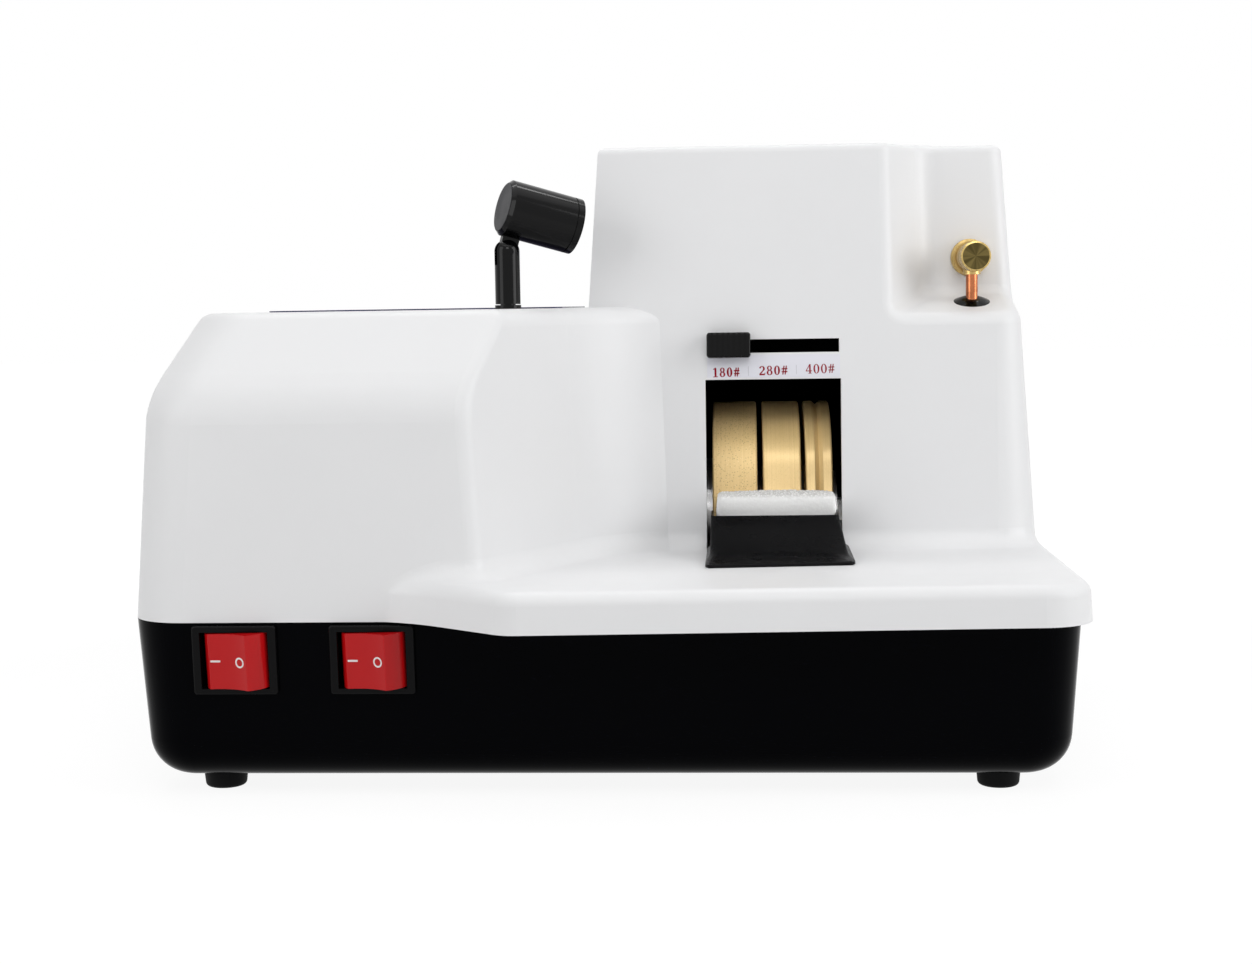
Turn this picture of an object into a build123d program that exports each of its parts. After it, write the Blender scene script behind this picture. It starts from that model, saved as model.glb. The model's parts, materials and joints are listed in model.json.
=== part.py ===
from build123d import *
import os
from math import copysign, cos, radians, sin, sqrt, tan

# Manual lens edger: a bench machine that grinds spectacle lenses on three brass wheels.
# Millimetres. +X is the operator's right, +Y points away from the operator, +Z is up.
# The origin lies on the bench, under the middle of the machine.

os.makedirs("parts", exist_ok=True)

# ---------------------------------------------------------------- driving dimensions
# clearances
gap = 0.3                 # between a moving piece and its fixed neighbour
running = 0.05            # radial clearance of a shaft that turns in a bore
seat = 0.02               # radial clearance of a ring pushed over a shaft or into a bore

# case
case_width = 348.0
case_front = -130.0       # front of the motor bay at the parting line
case_rear = 132.0
parting = 66.4            # height at which the cover meets the tray
tray_bottom = 7.0
wall = 3.0
draft = 4.0               # degrees, moulding draft of tray and cover
tower_step = 1.5          # the tower's rear wall stands in from the bay's
platform_step = 0.8       # the platform's rear edge stands in from the bay's
corner_radius = 22.0
tray_edge_radius = 15.0

# cover
bay_top = 178.0
shoulder = 147.0          # height at which the bay's front starts to slope back
platform_top = 81.0
tower_top = 241.5
tower_left = -17.2
tower_right = 170.5
tower_front = -44.0       # tower front at the parting line
wall_heading = 61.3       # degrees, plan direction of the diagonal wall
wall_foot = (-46.0, -134.0)
lip_left = -74.0
lip_corner = (-31.0, -161.6)
lip_sweep = 60.0          # plan radius of the lip's start at the bay's front
lip_setback = 2.5         # the lip starts this far behind the bay's front
foot_blend = 8.0          # concave radius where walls rise from the platform
lip_right_y = -149.3
pocket_corner = (127.6, -12.4)
pocket_heading = 57.5     # degrees, plan direction of the pocket's side wall
pocket_floor = 178.5      # height of the pocket's floor under the pipe
pocket_slope = 18.0       # degrees, fall of the pocket's floor to the front

# grinding wheels
axis_y = 15.0
axis_z = 87.0
wheel_radius = 50.0
wheel_start = 39.3
wheel_widths = (18.1, 15.3, 10.8)
wheel_gaps = (2.4, 2.0)
groove_width = 3.4
groove_depth = 1.4
hub_radius = 12.0
shaft_radius = 7.5

# window, slot and slider in the tower's front
window_left = 37.0
window_right = 91.0
window_top = 148.5
slot_bottom = 159.0
slot_height = 5.4
knob_width = 17.4
knob_height = 10.0
knob_depth = 6.0
knob_centre = 46.4
slider_travel = 35.2
label_bottom = 149.2
label_height = 9.0
label_thickness = 0.2

# valve and lamp
valve_x = 144.5
valve_z = 196.0
valve_knob_radius = 6.0
pipe_radius = 2.4
pipe_y = -21.0
lamp_x = -39.0
lamp_y = -60.0
lamp_pivot_z = 200.0
lamp_heading = 24.0       # degrees, plan direction of the lamp's beam
lamp_dip = 14.5           # degrees below level
lamp_radius = 11.0
lamp_length = 30.0
post_radius = 4.9

# switches
switch_xs = (-132.75, -82.5)
switch_z = 52.8
bezel_width = 31.0
bezel_height = 25.5
rocker_width = 24.4
rocker_height = 20.4
rocker_tilt = 15.0        # degrees from level to either side


def save(part, name):
    """Label a finished piece and write it as a STEP file."""
    part.label = name
    export_step(part, f"parts/{name}.step")


# ---------------------------------------------------------------- shapes of the case
slope = tan(radians(draft))
case_left = -case_width / 2
case_right = case_width / 2
case_depth = case_rear - case_front
case_middle_y = (case_front + case_rear) / 2


def drawn_in(height):
    """Distance that a drafted wall has moved inwards at a height above the parting line."""
    return (height - parting) * slope


def tower_front_at(height):
    return tower_front + drawn_in(height)


def crossing(point, direction, other, other_direction):
    """Plan point where two straight lines cross."""
    det = direction[0] * other_direction[1] - direction[1] * other_direction[0]
    dx, dy = other[0] - point[0], other[1] - point[1]
    step = (dx * other_direction[1] - dy * other_direction[0]) / det
    return (point[0] + step * direction[0], point[1] + step * direction[1])


def eased(distance, reach):
    """A bend at zero, rounded over the reach: nothing before it, the distance after it."""
    if distance < -reach:
        return 0.0
    if distance > reach:
        return distance
    return (distance + reach) ** 2 / (4 * reach)


shoulder_bend = 9.0       # half the height over which the shoulder's bend is rounded
bay_blend = 60.0          # plan radius where the diagonal wall turns into the tower
hidden_x = tower_left + 87.2
hidden_radius = 14.0


def bay_section(height, inset):
    """Outline of the motor bay and its diagonal wall at one height."""
    drawn = drawn_in(height)
    lean = eased(height - shoulder, shoulder_bend)
    front = case_front + inset + 0.5 * drawn + 0.82 * lean
    left = case_left + inset + drawn + 0.42 * lean
    rear = case_rear - inset - drawn - 0.42 * lean
    heading = radians(wall_heading)
    along = (cos(heading), sin(heading))
    back = (height - platform_top) * slope + inset
    foot = (wall_foot[0] - along[1] * back, wall_foot[1] + along[0] * back)
    tower_y = tower_front_at(height) - 0.6 + inset
    fold = crossing(foot, along, (0, tower_y), (1, 0.1))
    nose = crossing(foot, along, (0, front), (1, 0))
    far = (hidden_x, tower_y + 0.1 * hidden_x)
    with BuildSketch(Plane.XY.offset(height)) as section:
        with BuildLine():
            FilletPolyline(
                (left, front), nose, fold, far, (hidden_x, rear), (left, rear),
                radius=[corner_radius - inset, 7 - inset, bay_blend + inset,
                        hidden_radius, hidden_radius, corner_radius - inset],
                close=True,
            )
        make_face()
    return section.sketch


def bay_form(inset, top_radius):
    """The motor bay as a solid, drawn in by the inset on every side."""
    top = bay_top - inset
    bend = [shoulder + shoulder_bend * step for step in (-1, -0.5, 0, 0.5, 1)]
    with BuildPart() as bay:
        loft([bay_section(z, inset) for z in (parting, bend[0])], ruled=True)
        loft([bay_section(z, inset) for z in bend])
        loft([bay_section(z, inset) for z in (bend[-1], top)], ruled=True)
        fillet(bay.edges().filter_by_position(Axis.Z, top - 0.1, top + 0.1), top_radius)
    return bay.part


pocket_start = platform_top + 69.0
pocket_far = 2 * case_right - tower_right + 30


def pocket_form(inset):
    """The space cut from the tower's corner for the water valve."""
    side = (cos(radians(pocket_heading)), sin(radians(pocket_heading)))
    mouth = crossing(pocket_corner, side, (0, tower_front - 18), (1, 0))
    fall = radians(pocket_slope)
    with BuildPart() as pocket:
        with BuildSketch(Plane.XY.offset(pocket_start)):
            with BuildLine():
                FilletPolyline(
                    mouth, pocket_corner, (pocket_far, pocket_corner[1]), (pocket_far, mouth[1]),
                    radius=[0.5, 6.0, 0.5, 0.5], close=True,
                )
            make_face()
            if inset:
                offset(amount=inset, kind=Kind.INTERSECTION)
        extrude(amount=tower_top + 20 - pocket_start, taper=-3)
        split(
            bisect_by=Plane(
                origin=(0, pipe_y + 1, pocket_floor - inset), z_dir=(0, -sin(fall), cos(fall))
            ),
            keep=Keep.TOP,
        )
    return pocket.part


def tower_block(inset):
    """The tower without its pocket, drawn in by the inset."""
    width = tower_right - tower_left - 2 * inset
    with BuildPart() as block:
        with BuildSketch(Plane.XY.offset(parting)):
            with BuildLine():
                FilletPolyline(
                    (tower_left + inset, tower_front + inset),
                    (tower_left + inset + width, tower_front + inset),
                    (tower_left + inset + width, case_rear - tower_step - inset),
                    (tower_left + inset, case_rear - tower_step - inset),
                    radius=[8 - inset, 18 - inset, 18 - inset, 12 - inset], close=True,
                )
            make_face()
        extrude(amount=tower_top - inset - parting, taper=draft)
    return block.part


def touches(edge, box_low, box_high):
    """True where the middle of an edge lies in a box."""
    middle = edge.center()
    inside_x = box_low[0] < middle.X < box_high[0]
    inside_y = box_low[1] < middle.Y < box_high[1]
    return inside_x and inside_y and box_low[2] < middle.Z < box_high[2]


def tower_form():
    """The tower with its pocket and rounded edges."""
    floor_low = pocket_floor - 16
    floor_high = pocket_floor + 5
    mid_low = pocket_floor + 15
    mid_high = tower_top - 5
    back_y = pocket_corner[1]
    with BuildPart() as tower:
        add(tower_block(0))
        add(pocket_form(0), mode=Mode.SUBTRACT)
        # concave edges between the pocket's floor and its walls
        floor_box = ((95, tower_front + 10, floor_low), (tower_right - 15, back_y + 4, floor_high))
        front_box = ((95, tower_front - 1, floor_low), (tower_right + 5, tower_front + 12, floor_high))
        fillet(
            tower.edges().filter_by(
                lambda e: touches(e, *floor_box) and not touches(e, *front_box)
            ),
            5.0,
        )
        # convex edges round the pocket
        side_box = ((tower_right - 15, tower_front - 1, floor_low), (tower_right, back_y, floor_high))
        nose_box = ((95, tower_front, mid_low), (120, back_y - 10, mid_high))
        ear_box = ((tower_right - 15, back_y - 2, mid_low), (tower_right, back_y + 8, mid_high))
        fillet(
            tower.edges().filter_by(
                lambda e: touches(e, *front_box) or touches(e, *side_box)
                or touches(e, *nose_box) or touches(e, *ear_box)
            ),
            6.0,
        )
        rim = tower.edges().filter_by(lambda e: e.bounding_box().min.Z > tower_top - 0.05)
        fillet(rim, 3.0)
    return tower.part


def platform_form(inset):
    """The work platform in front of the tower, with its lip over the tray."""
    right = case_right - inset
    hidden_left = lip_left - 40
    front = case_front + lip_setback + inset
    with BuildPart() as platform:
        with BuildSketch(Plane.XY.offset(parting)):
            with BuildLine():
                FilletPolyline(
                    (hidden_left, front), (lip_left, front),
                    (lip_corner[0] + inset, lip_corner[1] + inset),
                    (right, lip_right_y + inset),
                    (right, case_rear - platform_step - inset),
                    (hidden_left, case_rear - platform_step - inset),
                    radius=[10.0, lip_sweep + inset, 12.0, 20.0 - inset, 18.0 - inset, 10.0],
                    close=True,
                )
            make_face()
        extrude(amount=platform_top - inset - parting, taper=draft)
        rim = platform.edges().filter_by_position(
            Axis.Z, platform_top - inset - 0.1, platform_top - inset + 0.1
        )
        fillet(rim, 5.0 - inset / 2)
    return platform.part


def rises_from_platform(edge):
    """True for an edge where a wall of the bay or tower meets the platform's top."""
    middle = edge.position_at(0.5)
    level = abs(middle.Z - platform_top) < 0.05 and edge.bounding_box().size.Z < 0.1
    return level and middle.Y > case_front - 1 and middle.X < tower_right - draft


# ---------------------------------------------------------------- screws and bosses
side_spot = case_width / 2 - 24
side_screws = [(x, y) for x in (-side_spot, side_spot) for y in (-60.0, 60.0)]
front_screw = (0.0, case_front + 24)
rear_screw = (0.0, case_rear - 24)
screw_spots = side_screws + [front_screw, rear_screw]
boss_radius = 6.5
boss_rise = 40.0
screw_radius = 2.0
screw_head_radius = 3.9
screw_head_height = 3.0
screw_seat = parting - 8.0
screw_bite = 10.0
foot_inset = 29.0
foot_spots = [
    (x, y)
    for x in (case_left + foot_inset, case_right - foot_inset)
    for y in (case_front + foot_inset - 1, case_rear - foot_inset + 1)
]
foot_radius = 8.3
foot_screw_radius = 2.5


def under_platform(spot):
    """True for a screw whose boss stands under the platform, not inside the bay or tower."""
    return spot[1] < tower_front and spot[0] > wall_foot[0]


# ---------------------------------------------------------------- cover
tank_left, tank_right = 3.0, 154.0
tank_front, tank_rear = 0.0, 112.0
tank_floor = 186.0
tank_middle = ((tank_left + tank_right) / 2, (tank_front + tank_rear) / 2)
lid_opening = (104.0, 66.0)
bush_radius = 3.9
window_middle = (window_left + window_right) / 2
valve_bore = 4.3
grommet_neck = 5.6

tower_void = tower_block(wall)
bay_void = bay_form(wall, 4.0)
pocket_skin = pocket_form(wall)

with BuildPart() as platform_void:
    # the hollow under the platform stops behind the tray's front wall
    void_left = wall_foot[0] - 20
    void_right = case_right - wall - 2
    void_front = case_front + wall
    void_rear = case_rear - platform_step - wall
    with BuildSketch(Plane.XY.offset(parting)):
        with Locations(((void_left + void_right) / 2, (void_front + void_rear) / 2)):
            RectangleRounded(void_right - void_left, void_rear - void_front, corner_radius - 6)
    extrude(amount=platform_top - wall - parting)

with BuildPart() as lip_void:
    # the lip is open below, with a wall of its own towards the tray
    lip_left_end = lip_corner[0] + 10
    lip_right_end = case_right - 22
    lip_slope = (lip_right_y - lip_corner[1]) / (case_right - lip_corner[0])
    with BuildSketch(Plane.XY.offset(parting)):
        with BuildLine():
            lip_front_left = lip_corner[1] + lip_slope * (lip_left_end - lip_corner[0]) + wall + 1
            lip_front_right = lip_corner[1] + lip_slope * (lip_right_end - lip_corner[0]) + wall + 1
            Polyline(
                (lip_left_end, lip_front_left), (lip_right_end, lip_front_right),
                (lip_right_end, case_front - wall), (lip_left_end, case_front - wall),
                close=True,
            )
        make_face()
    extrude(amount=platform_top - wall - 3 - parting)
    # cross ribs that stiffen the lip
    rib_count = 5
    rib_pitch = (lip_right_end - lip_left_end) / (rib_count + 1)
    with BuildSketch(Plane.XY.offset(parting)):
        for index in range(1, rib_count + 1):
            with Locations((lip_left_end + index * rib_pitch, case_front - 15)):
                Rectangle(2.0, 60)
    extrude(amount=platform_top - parting, mode=Mode.SUBTRACT)

with BuildPart() as cover:
    add(bay_form(0, 7.0))
    add(tower_form())
    add(platform_form(0))
    fillet(cover.edges().filter_by(rises_from_platform), foot_blend)
    add(bay_void, mode=Mode.SUBTRACT)
    add(tower_void - pocket_skin, mode=Mode.SUBTRACT)
    add(platform_void.part, mode=Mode.SUBTRACT)
    add(lip_void.part, mode=Mode.SUBTRACT)
    # grinding window and slider slot through the tower's front
    with BuildSketch(Plane.XZ.offset(-tower_front + 8)):
        with Locations((window_middle, (platform_top + window_top) / 2)):
            Rectangle(window_right - window_left, window_top - platform_top)
        with Locations((window_middle, slot_bottom + slot_height / 2)):
            Rectangle(window_right - window_left - 1.2, slot_height)
    extrude(amount=-20, mode=Mode.SUBTRACT)
    # screw bosses, with ribs to the nearest wall
    for spot in screw_spots:
        boss_top = platform_top - wall / 2 if under_platform(spot) else parting + boss_rise
        with BuildSketch(Plane.XY.offset(parting)):
            with Locations(spot):
                Circle(boss_radius)
        extrude(amount=boss_top - parting)
    for spot in side_screws:
        if not under_platform(spot):
            reach = tower_right if spot[0] > 0 else case_left
            edge_x = reach - copysign(drawn_in(parting + boss_rise) + wall / 2, reach)
            with BuildSketch(Plane.XY.offset(parting)):
                with Locations(((spot[0] + edge_x) / 2, spot[1])):
                    Rectangle(abs(edge_x - spot[0]), wall)
            extrude(amount=boss_rise - 6)
    rear_edge = case_rear - drawn_in(parting + boss_rise) - wall / 2
    with BuildSketch(Plane.XY.offset(parting)):
        with Locations((rear_screw[0], (rear_screw[1] + rear_edge) / 2)):
            Rectangle(wall, rear_edge - rear_screw[1])
    extrude(amount=boss_rise - 6)
    with BuildSketch(Plane.XY.offset(parting)):
        with Locations(*screw_spots):
            Circle(screw_radius + seat)
    extrude(amount=screw_bite + 1, mode=Mode.SUBTRACT)
    # holes for the lamp, the valve, the pipe's grommet and the tank's lid
    with BuildSketch(Plane.XY.offset(bay_top - wall - 1)):
        with Locations((lamp_x, lamp_y)):
            Circle(bush_radius + seat)
    extrude(amount=wall + 2, mode=Mode.SUBTRACT)
    with BuildSketch(Plane.XZ.offset(-pocket_corner[1] + 4)):
        with Locations((valve_x, valve_z)):
            Circle(valve_bore)
    extrude(amount=-16, mode=Mode.SUBTRACT)
    with BuildSketch(Plane.XY.offset(pocket_floor - 12)):
        with Locations((valve_x, pipe_y)):
            Circle(grommet_neck + seat)
    extrude(amount=20, mode=Mode.SUBTRACT)
    with BuildSketch(Plane.XY.offset(tower_top - wall - 1)):
        with Locations(tank_middle):
            RectangleRounded(*lid_opening, 8)
    extrude(amount=wall + 2, mode=Mode.SUBTRACT)
save(cover.part, "cover")


# ---------------------------------------------------------------- tray, feet and screws
tray_floor = tray_bottom + wall
inlet_x = -112.0
inlet_z = 36.0
inlet_body = (27.0, 20.0)
drain_x = (window_left + window_right) / 2 + 5
drain_z = 34.0
drain_radius = 5.5
drain_run_radius = 6.0    # of the spout's hidden run from the chamber to the collar
drain_end = -lip_corner[1] - 0.1
vent_count = 9
vent_pitch = 8.0
switch_body = (27.6, 22.6)


def tray_front_at(height):
    return case_front + (parting - height) * slope


def tray_rear_at(height):
    return case_rear - (parting - height) * slope


def switch_plane(x):
    """Plane on the tray's front wall, facing outwards, centred on one switch."""
    lean = radians(draft)
    return Plane(
        origin=(x, tray_front_at(switch_z), switch_z), x_dir=(1, 0, 0),
        z_dir=(0, -cos(lean), -sin(lean)),
    )


rear_plane = Plane(
    origin=(inlet_x, tray_rear_at(inlet_z), inlet_z), x_dir=(-1, 0, 0),
    z_dir=(0, cos(radians(draft)), -sin(radians(draft))),
)

with BuildPart() as tray_void:
    with BuildSketch(Plane.XY.offset(parting)):
        with Locations((0, case_middle_y)):
            RectangleRounded(case_width - 2 * wall, case_depth - 2 * wall, corner_radius - wall)
    extrude(amount=parting - tray_floor, dir=(0, 0, -1), taper=draft)
    fillet(tray_void.faces().sort_by(Axis.Z)[0].edges(), tray_edge_radius - wall)

with BuildPart() as base_tray:
    with BuildSketch(Plane.XY.offset(parting)):
        with Locations((0, case_middle_y)):
            RectangleRounded(case_width, case_depth, corner_radius)
    extrude(amount=parting - tray_bottom, dir=(0, 0, -1), taper=draft)
    fillet(base_tray.faces().sort_by(Axis.Z)[0].edges(), tray_edge_radius)
    add(tray_void.part, mode=Mode.SUBTRACT)
    # tubes for the cover's screws and bosses for the feet's screws
    with BuildSketch(Plane.XY.offset(tray_bottom + wall / 2)):
        with Locations(*screw_spots):
            Circle(boss_radius)
    extrude(amount=parting - tray_bottom - wall / 2)
    with BuildSketch(Plane.XY.offset(tray_bottom + wall / 2)):
        with Locations(*foot_spots):
            Circle(foot_screw_radius + 2.5)
    extrude(amount=wall / 2 + 8)
    with BuildSketch(Plane.XY.offset(tray_bottom)):
        with Locations(*screw_spots):
            Circle(screw_head_radius + gap)
    extrude(amount=screw_seat - tray_bottom, mode=Mode.SUBTRACT)
    with BuildSketch(Plane.XY.offset(tray_bottom)):
        with Locations(*screw_spots):
            Circle(screw_radius + gap)
        with Locations(*foot_spots):
            Circle(foot_screw_radius + seat)
    extrude(amount=parting - tray_bottom, mode=Mode.SUBTRACT)
    # openings for the switches, the inlet, the drain and the motor's air
    for x in switch_xs:
        with BuildSketch(switch_plane(x)):
            Rectangle(switch_body[0] + 2 * seat, switch_body[1] + 2 * seat)
        extrude(amount=8, both=True, mode=Mode.SUBTRACT)
    with BuildSketch(rear_plane):
        Rectangle(inlet_body[0] + 2 * seat, inlet_body[1] + 2 * seat)
        with Locations((-20, 0), (20, 0)):
            Circle(1.5 + seat)
    extrude(amount=8, both=True, mode=Mode.SUBTRACT)
    with BuildSketch(Plane.XZ.offset(-case_rear - 2)):
        with Locations((drain_x, drain_z)):
            Circle(drain_run_radius + gap)
        with Locations((inlet_x + 70, inlet_z)):
            with GridLocations(vent_pitch, 1, vent_count, 1):
                SlotOverall(24, 3.2, rotation=90)
    extrude(amount=16, mode=Mode.SUBTRACT)
save(base_tray.part, "base_tray")

foot_head_radius = 4.2
foot_head_height = 2.4
foot_seat = 3.6
with BuildPart() as rubber_feet:
    with BuildSketch(Plane.XY.offset(tray_bottom)):
        with Locations(*foot_spots):
            Circle(foot_radius)
    extrude(amount=tray_bottom, dir=(0, 0, -1), taper=6)
    fillet(rubber_feet.edges().filter_by_position(Axis.Z, -0.1, 0.1), 1.6)
    with BuildSketch(Plane.XY):
        with Locations(*foot_spots):
            Circle(foot_head_radius + gap)
    extrude(amount=foot_seat, mode=Mode.SUBTRACT)
    with BuildSketch(Plane.XY):
        with Locations(*foot_spots):
            Circle(foot_screw_radius + seat)
    extrude(amount=tray_bottom, mode=Mode.SUBTRACT)
save(rubber_feet.part, "rubber_feet")

with BuildPart() as foot_screws:
    with BuildSketch(Plane.XY.offset(foot_seat)):
        with Locations(*foot_spots):
            Circle(foot_head_radius)
    extrude(amount=-foot_head_height)
    with BuildSketch(Plane.XY.offset(foot_seat)):
        with Locations(*foot_spots):
            Circle(foot_screw_radius)
    extrude(amount=tray_floor + 6 - foot_seat)
save(foot_screws.part, "foot_screws")

with BuildPart() as cover_screws:
    with BuildSketch(Plane.XY.offset(screw_seat)):
        with Locations(*screw_spots):
            Circle(screw_head_radius)
    extrude(amount=-screw_head_height)
    with BuildSketch(Plane.XY.offset(screw_seat)):
        with Locations(*screw_spots):
            Circle(screw_radius)
    extrude(amount=parting + screw_bite - screw_seat)
save(cover_screws.part, "cover_screws")

# ---------------------------------------------------------------- rocker switches
bezel_rise = 2.2
pivot_depth = 2.0
pin_radius = 1.5
crest_reach = 7.5         # from the pivot to each raised end of the rocker's face
crest_rise = 7.0
valley_rise = 5.6         # height of the hollow middle of the face
shoulder_reach = 10.6     # a point on the bulged end of the rocker
shoulder_rise = 4.0
rocker_back = 4.5
rocker_reach = rocker_width / 2
back_end = sqrt(rocker_reach ** 2 - rocker_back ** 2)
belly_end = sqrt(rocker_reach ** 2 - rocker_back ** 2 / 4)

for side, x in zip(("left", "right"), switch_xs):
    panel = switch_plane(x)
    pivot = panel.offset(-pivot_depth)
    with BuildPart() as switch:
        with BuildSketch(panel):
            RectangleRounded(bezel_width, bezel_height, 1.2)
        extrude(amount=bezel_rise)
        fillet(switch.faces().sort_by(Axis.Y)[0].edges(), 0.8)
        with BuildSketch(panel):
            Rectangle(*switch_body)
        extrude(amount=-22)
        with BuildSketch(panel.offset(bezel_rise)):
            Rectangle(rocker_width + 2 * gap, rocker_height + 2 * gap)
        extrude(amount=-(bezel_rise + 12), mode=Mode.SUBTRACT)
        with BuildSketch(Plane(origin=pivot.origin, x_dir=(1, 0, 0), z_dir=pivot.y_dir)):
            Circle(pin_radius + running)
        extrude(amount=switch_body[1] / 2 + 0.01, both=True, mode=Mode.SUBTRACT)
        with BuildSketch(panel.offset(-22)):
            with GridLocations(14, 9, 2, 2):
                Rectangle(0.8, 6.3)
        extrude(amount=-9)
    save(switch.part, f"switch_{side}")

    # profile across the pivot, turned so that the right half stands out
    profile = Plane(origin=pivot.origin, x_dir=(1, 0, 0), z_dir=-pivot.y_dir)
    with BuildPart() as rocker:
        with BuildSketch(profile.rotated((0, 0, -rocker_tilt))):
            with BuildLine():
                ThreePointArc((-crest_reach, crest_rise), (0, valley_rise), (crest_reach, crest_rise))
                ThreePointArc(
                    (crest_reach, crest_rise), (shoulder_reach, shoulder_rise), (rocker_reach, 0)
                )
                ThreePointArc(
                    (rocker_reach, 0), (belly_end, -rocker_back / 2), (back_end, -rocker_back)
                )
                Line((back_end, -rocker_back), (-back_end, -rocker_back))
                ThreePointArc(
                    (-back_end, -rocker_back), (-belly_end, -rocker_back / 2), (-rocker_reach, 0)
                )
                ThreePointArc(
                    (-rocker_reach, 0), (-shoulder_reach, shoulder_rise), (-crest_reach, crest_rise)
                )
            make_face()
        extrude(amount=rocker_height / 2, both=True)
        crests = rocker.edges().filter_by(GeomType.LINE).sort_by(Axis(pivot.origin, pivot.z_dir))
        fillet(crests[-2:], 0.6)
        with BuildSketch(profile):
            Circle(pin_radius)
        extrude(amount=switch_body[1] / 2 - 0.1, both=True)
    save(rocker.part, f"rocker_{side}")

# ---------------------------------------------------------------- power inlet
flange = (50.0, 23.0)
pin_spots = ((-7, -2), (7, -2), (0, 2))
with BuildPart() as power_inlet:
    with BuildSketch(rear_plane):
        RectangleRounded(*flange, 5)
    extrude(amount=2.5)
    with BuildSketch(rear_plane):
        Rectangle(*inlet_body)
    extrude(amount=-18)
    with BuildSketch(rear_plane.offset(2.5)):
        RectangleRounded(24.2, 16.4, 3)
    extrude(amount=-17, mode=Mode.SUBTRACT)
    with BuildSketch(rear_plane.offset(2.5)):
        with Locations((-20, 0), (20, 0)):
            Circle(1.5 + seat)
    extrude(amount=-3, mode=Mode.SUBTRACT)
    with BuildSketch(rear_plane):
        with Locations(*pin_spots):
            Rectangle(2 + 2 * seat, 4 + 2 * seat)
    extrude(amount=-20, mode=Mode.SUBTRACT)
save(power_inlet.part, "power_inlet")

with BuildPart() as inlet_pins:
    with BuildSketch(rear_plane.offset(-20)):
        with Locations(*pin_spots):
            Rectangle(2, 4)
    extrude(amount=16)
save(inlet_pins.part, "inlet_pins")

with BuildPart() as inlet_screws:
    with BuildSketch(rear_plane.offset(2.5)):
        with Locations((-20, 0), (20, 0)):
            Circle(2.8)
    extrude(amount=1.6)
    with BuildSketch(rear_plane.offset(2.5)):
        with Locations((-20, 0), (20, 0)):
            Circle(1.5)
    extrude(amount=-8)
save(inlet_screws.part, "inlet_screws")

# ---------------------------------------------------------------- motor
motor_radius = 48.0
motor_left, motor_right = -112.0, -23.0
bell_depth = 13.0
housing_wall = 3.0
bearing_radius = 17.5
bearing_width = 11.0
rotor_radius = 30.0
air_gap = 0.6
saddle_xs = (motor_left + 12, motor_right - 12)
saddle_width = 5.0
saddle_top = axis_z - 25.0
saddle_half = motor_radius + 8
plate_thickness = 3.0
axis_point = (axis_y, axis_z)


def across(x):
    """Plane across the spindle at one X, with the spindle's axis at its origin."""
    return Plane(origin=(x, axis_y, axis_z), x_dir=(0, 1, 0), z_dir=(1, 0, 0))


with BuildPart() as motor_housing:
    with BuildSketch(across(motor_left)):
        Circle(motor_radius)
        Circle(motor_radius - housing_wall, mode=Mode.SUBTRACT)
    extrude(amount=motor_right - motor_left)
save(motor_housing.part, "motor_housing")

with BuildPart() as motor_end_bells:
    for face_x, outward in ((motor_left, -1), (motor_right, 1)):
        with BuildSketch(across(face_x)):
            Circle(motor_radius)
        extrude(amount=outward * bell_depth)
        with BuildSketch(across(face_x)):
            Circle(motor_radius - housing_wall - seat)
        extrude(amount=-outward * 3)
        with BuildSketch(across(face_x)):
            Circle(motor_radius - housing_wall - 4)
        extrude(amount=-outward * 3, mode=Mode.SUBTRACT)
        with BuildSketch(across(face_x)):
            Circle(bearing_radius + seat)
        extrude(amount=outward * bearing_width, mode=Mode.SUBTRACT)
        with BuildSketch(across(face_x)):
            Circle(shaft_radius + 1.5)
            with PolarLocations(33, 8):
                Circle(5.5)
        extrude(amount=outward * bell_depth, mode=Mode.SUBTRACT)
save(motor_end_bells.part, "motor_end_bells")

with BuildPart() as bearings:
    for face_x, outward in ((motor_left, -1), (motor_right, 1)):
        with BuildSketch(across(face_x)):
            Circle(bearing_radius)
            Circle(shaft_radius + running, mode=Mode.SUBTRACT)
        extrude(amount=outward * bearing_width)
save(bearings.part, "bearings")

with BuildPart() as stator:
    with BuildSketch(across(motor_left + 12)):
        Circle(motor_radius - housing_wall - seat)
        Circle(rotor_radius + air_gap, mode=Mode.SUBTRACT)
    extrude(amount=motor_right - motor_left - 24)
save(stator.part, "stator")

with BuildPart() as rotor:
    with BuildSketch(across(motor_left + 17)):
        Circle(rotor_radius)
        Circle(shaft_radius + seat, mode=Mode.SUBTRACT)
    extrude(amount=motor_right - motor_left - 34)
save(rotor.part, "rotor")

with BuildPart() as motor_cradle:
    plate_left, plate_right = saddle_xs[0] - 14, saddle_xs[1] + 14
    with BuildSketch(Plane.XY.offset(tray_floor)):
        with Locations(((plate_left + plate_right) / 2, axis_y)):
            Rectangle(plate_right - plate_left, 2 * saddle_half)
    extrude(amount=plate_thickness)
    for x in saddle_xs:
        with BuildSketch(across(x - saddle_width / 2)):
            with Locations((0, (tray_floor + saddle_top) / 2 - axis_z)):
                Rectangle(2 * saddle_half, saddle_top - tray_floor)
            Circle(motor_radius + seat, mode=Mode.SUBTRACT)
        extrude(amount=saddle_width)
    plate_screws = [
        (x, axis_y + y) for x in (plate_left + 5, plate_right - 5)
        for y in (-saddle_half + 8, saddle_half - 8)
    ]
    with BuildSketch(Plane.XY.offset(tray_floor)):
        with Locations(*plate_screws):
            Circle(screw_radius + seat)
    extrude(amount=plate_thickness, mode=Mode.SUBTRACT)
save(motor_cradle.part, "motor_cradle")

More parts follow.
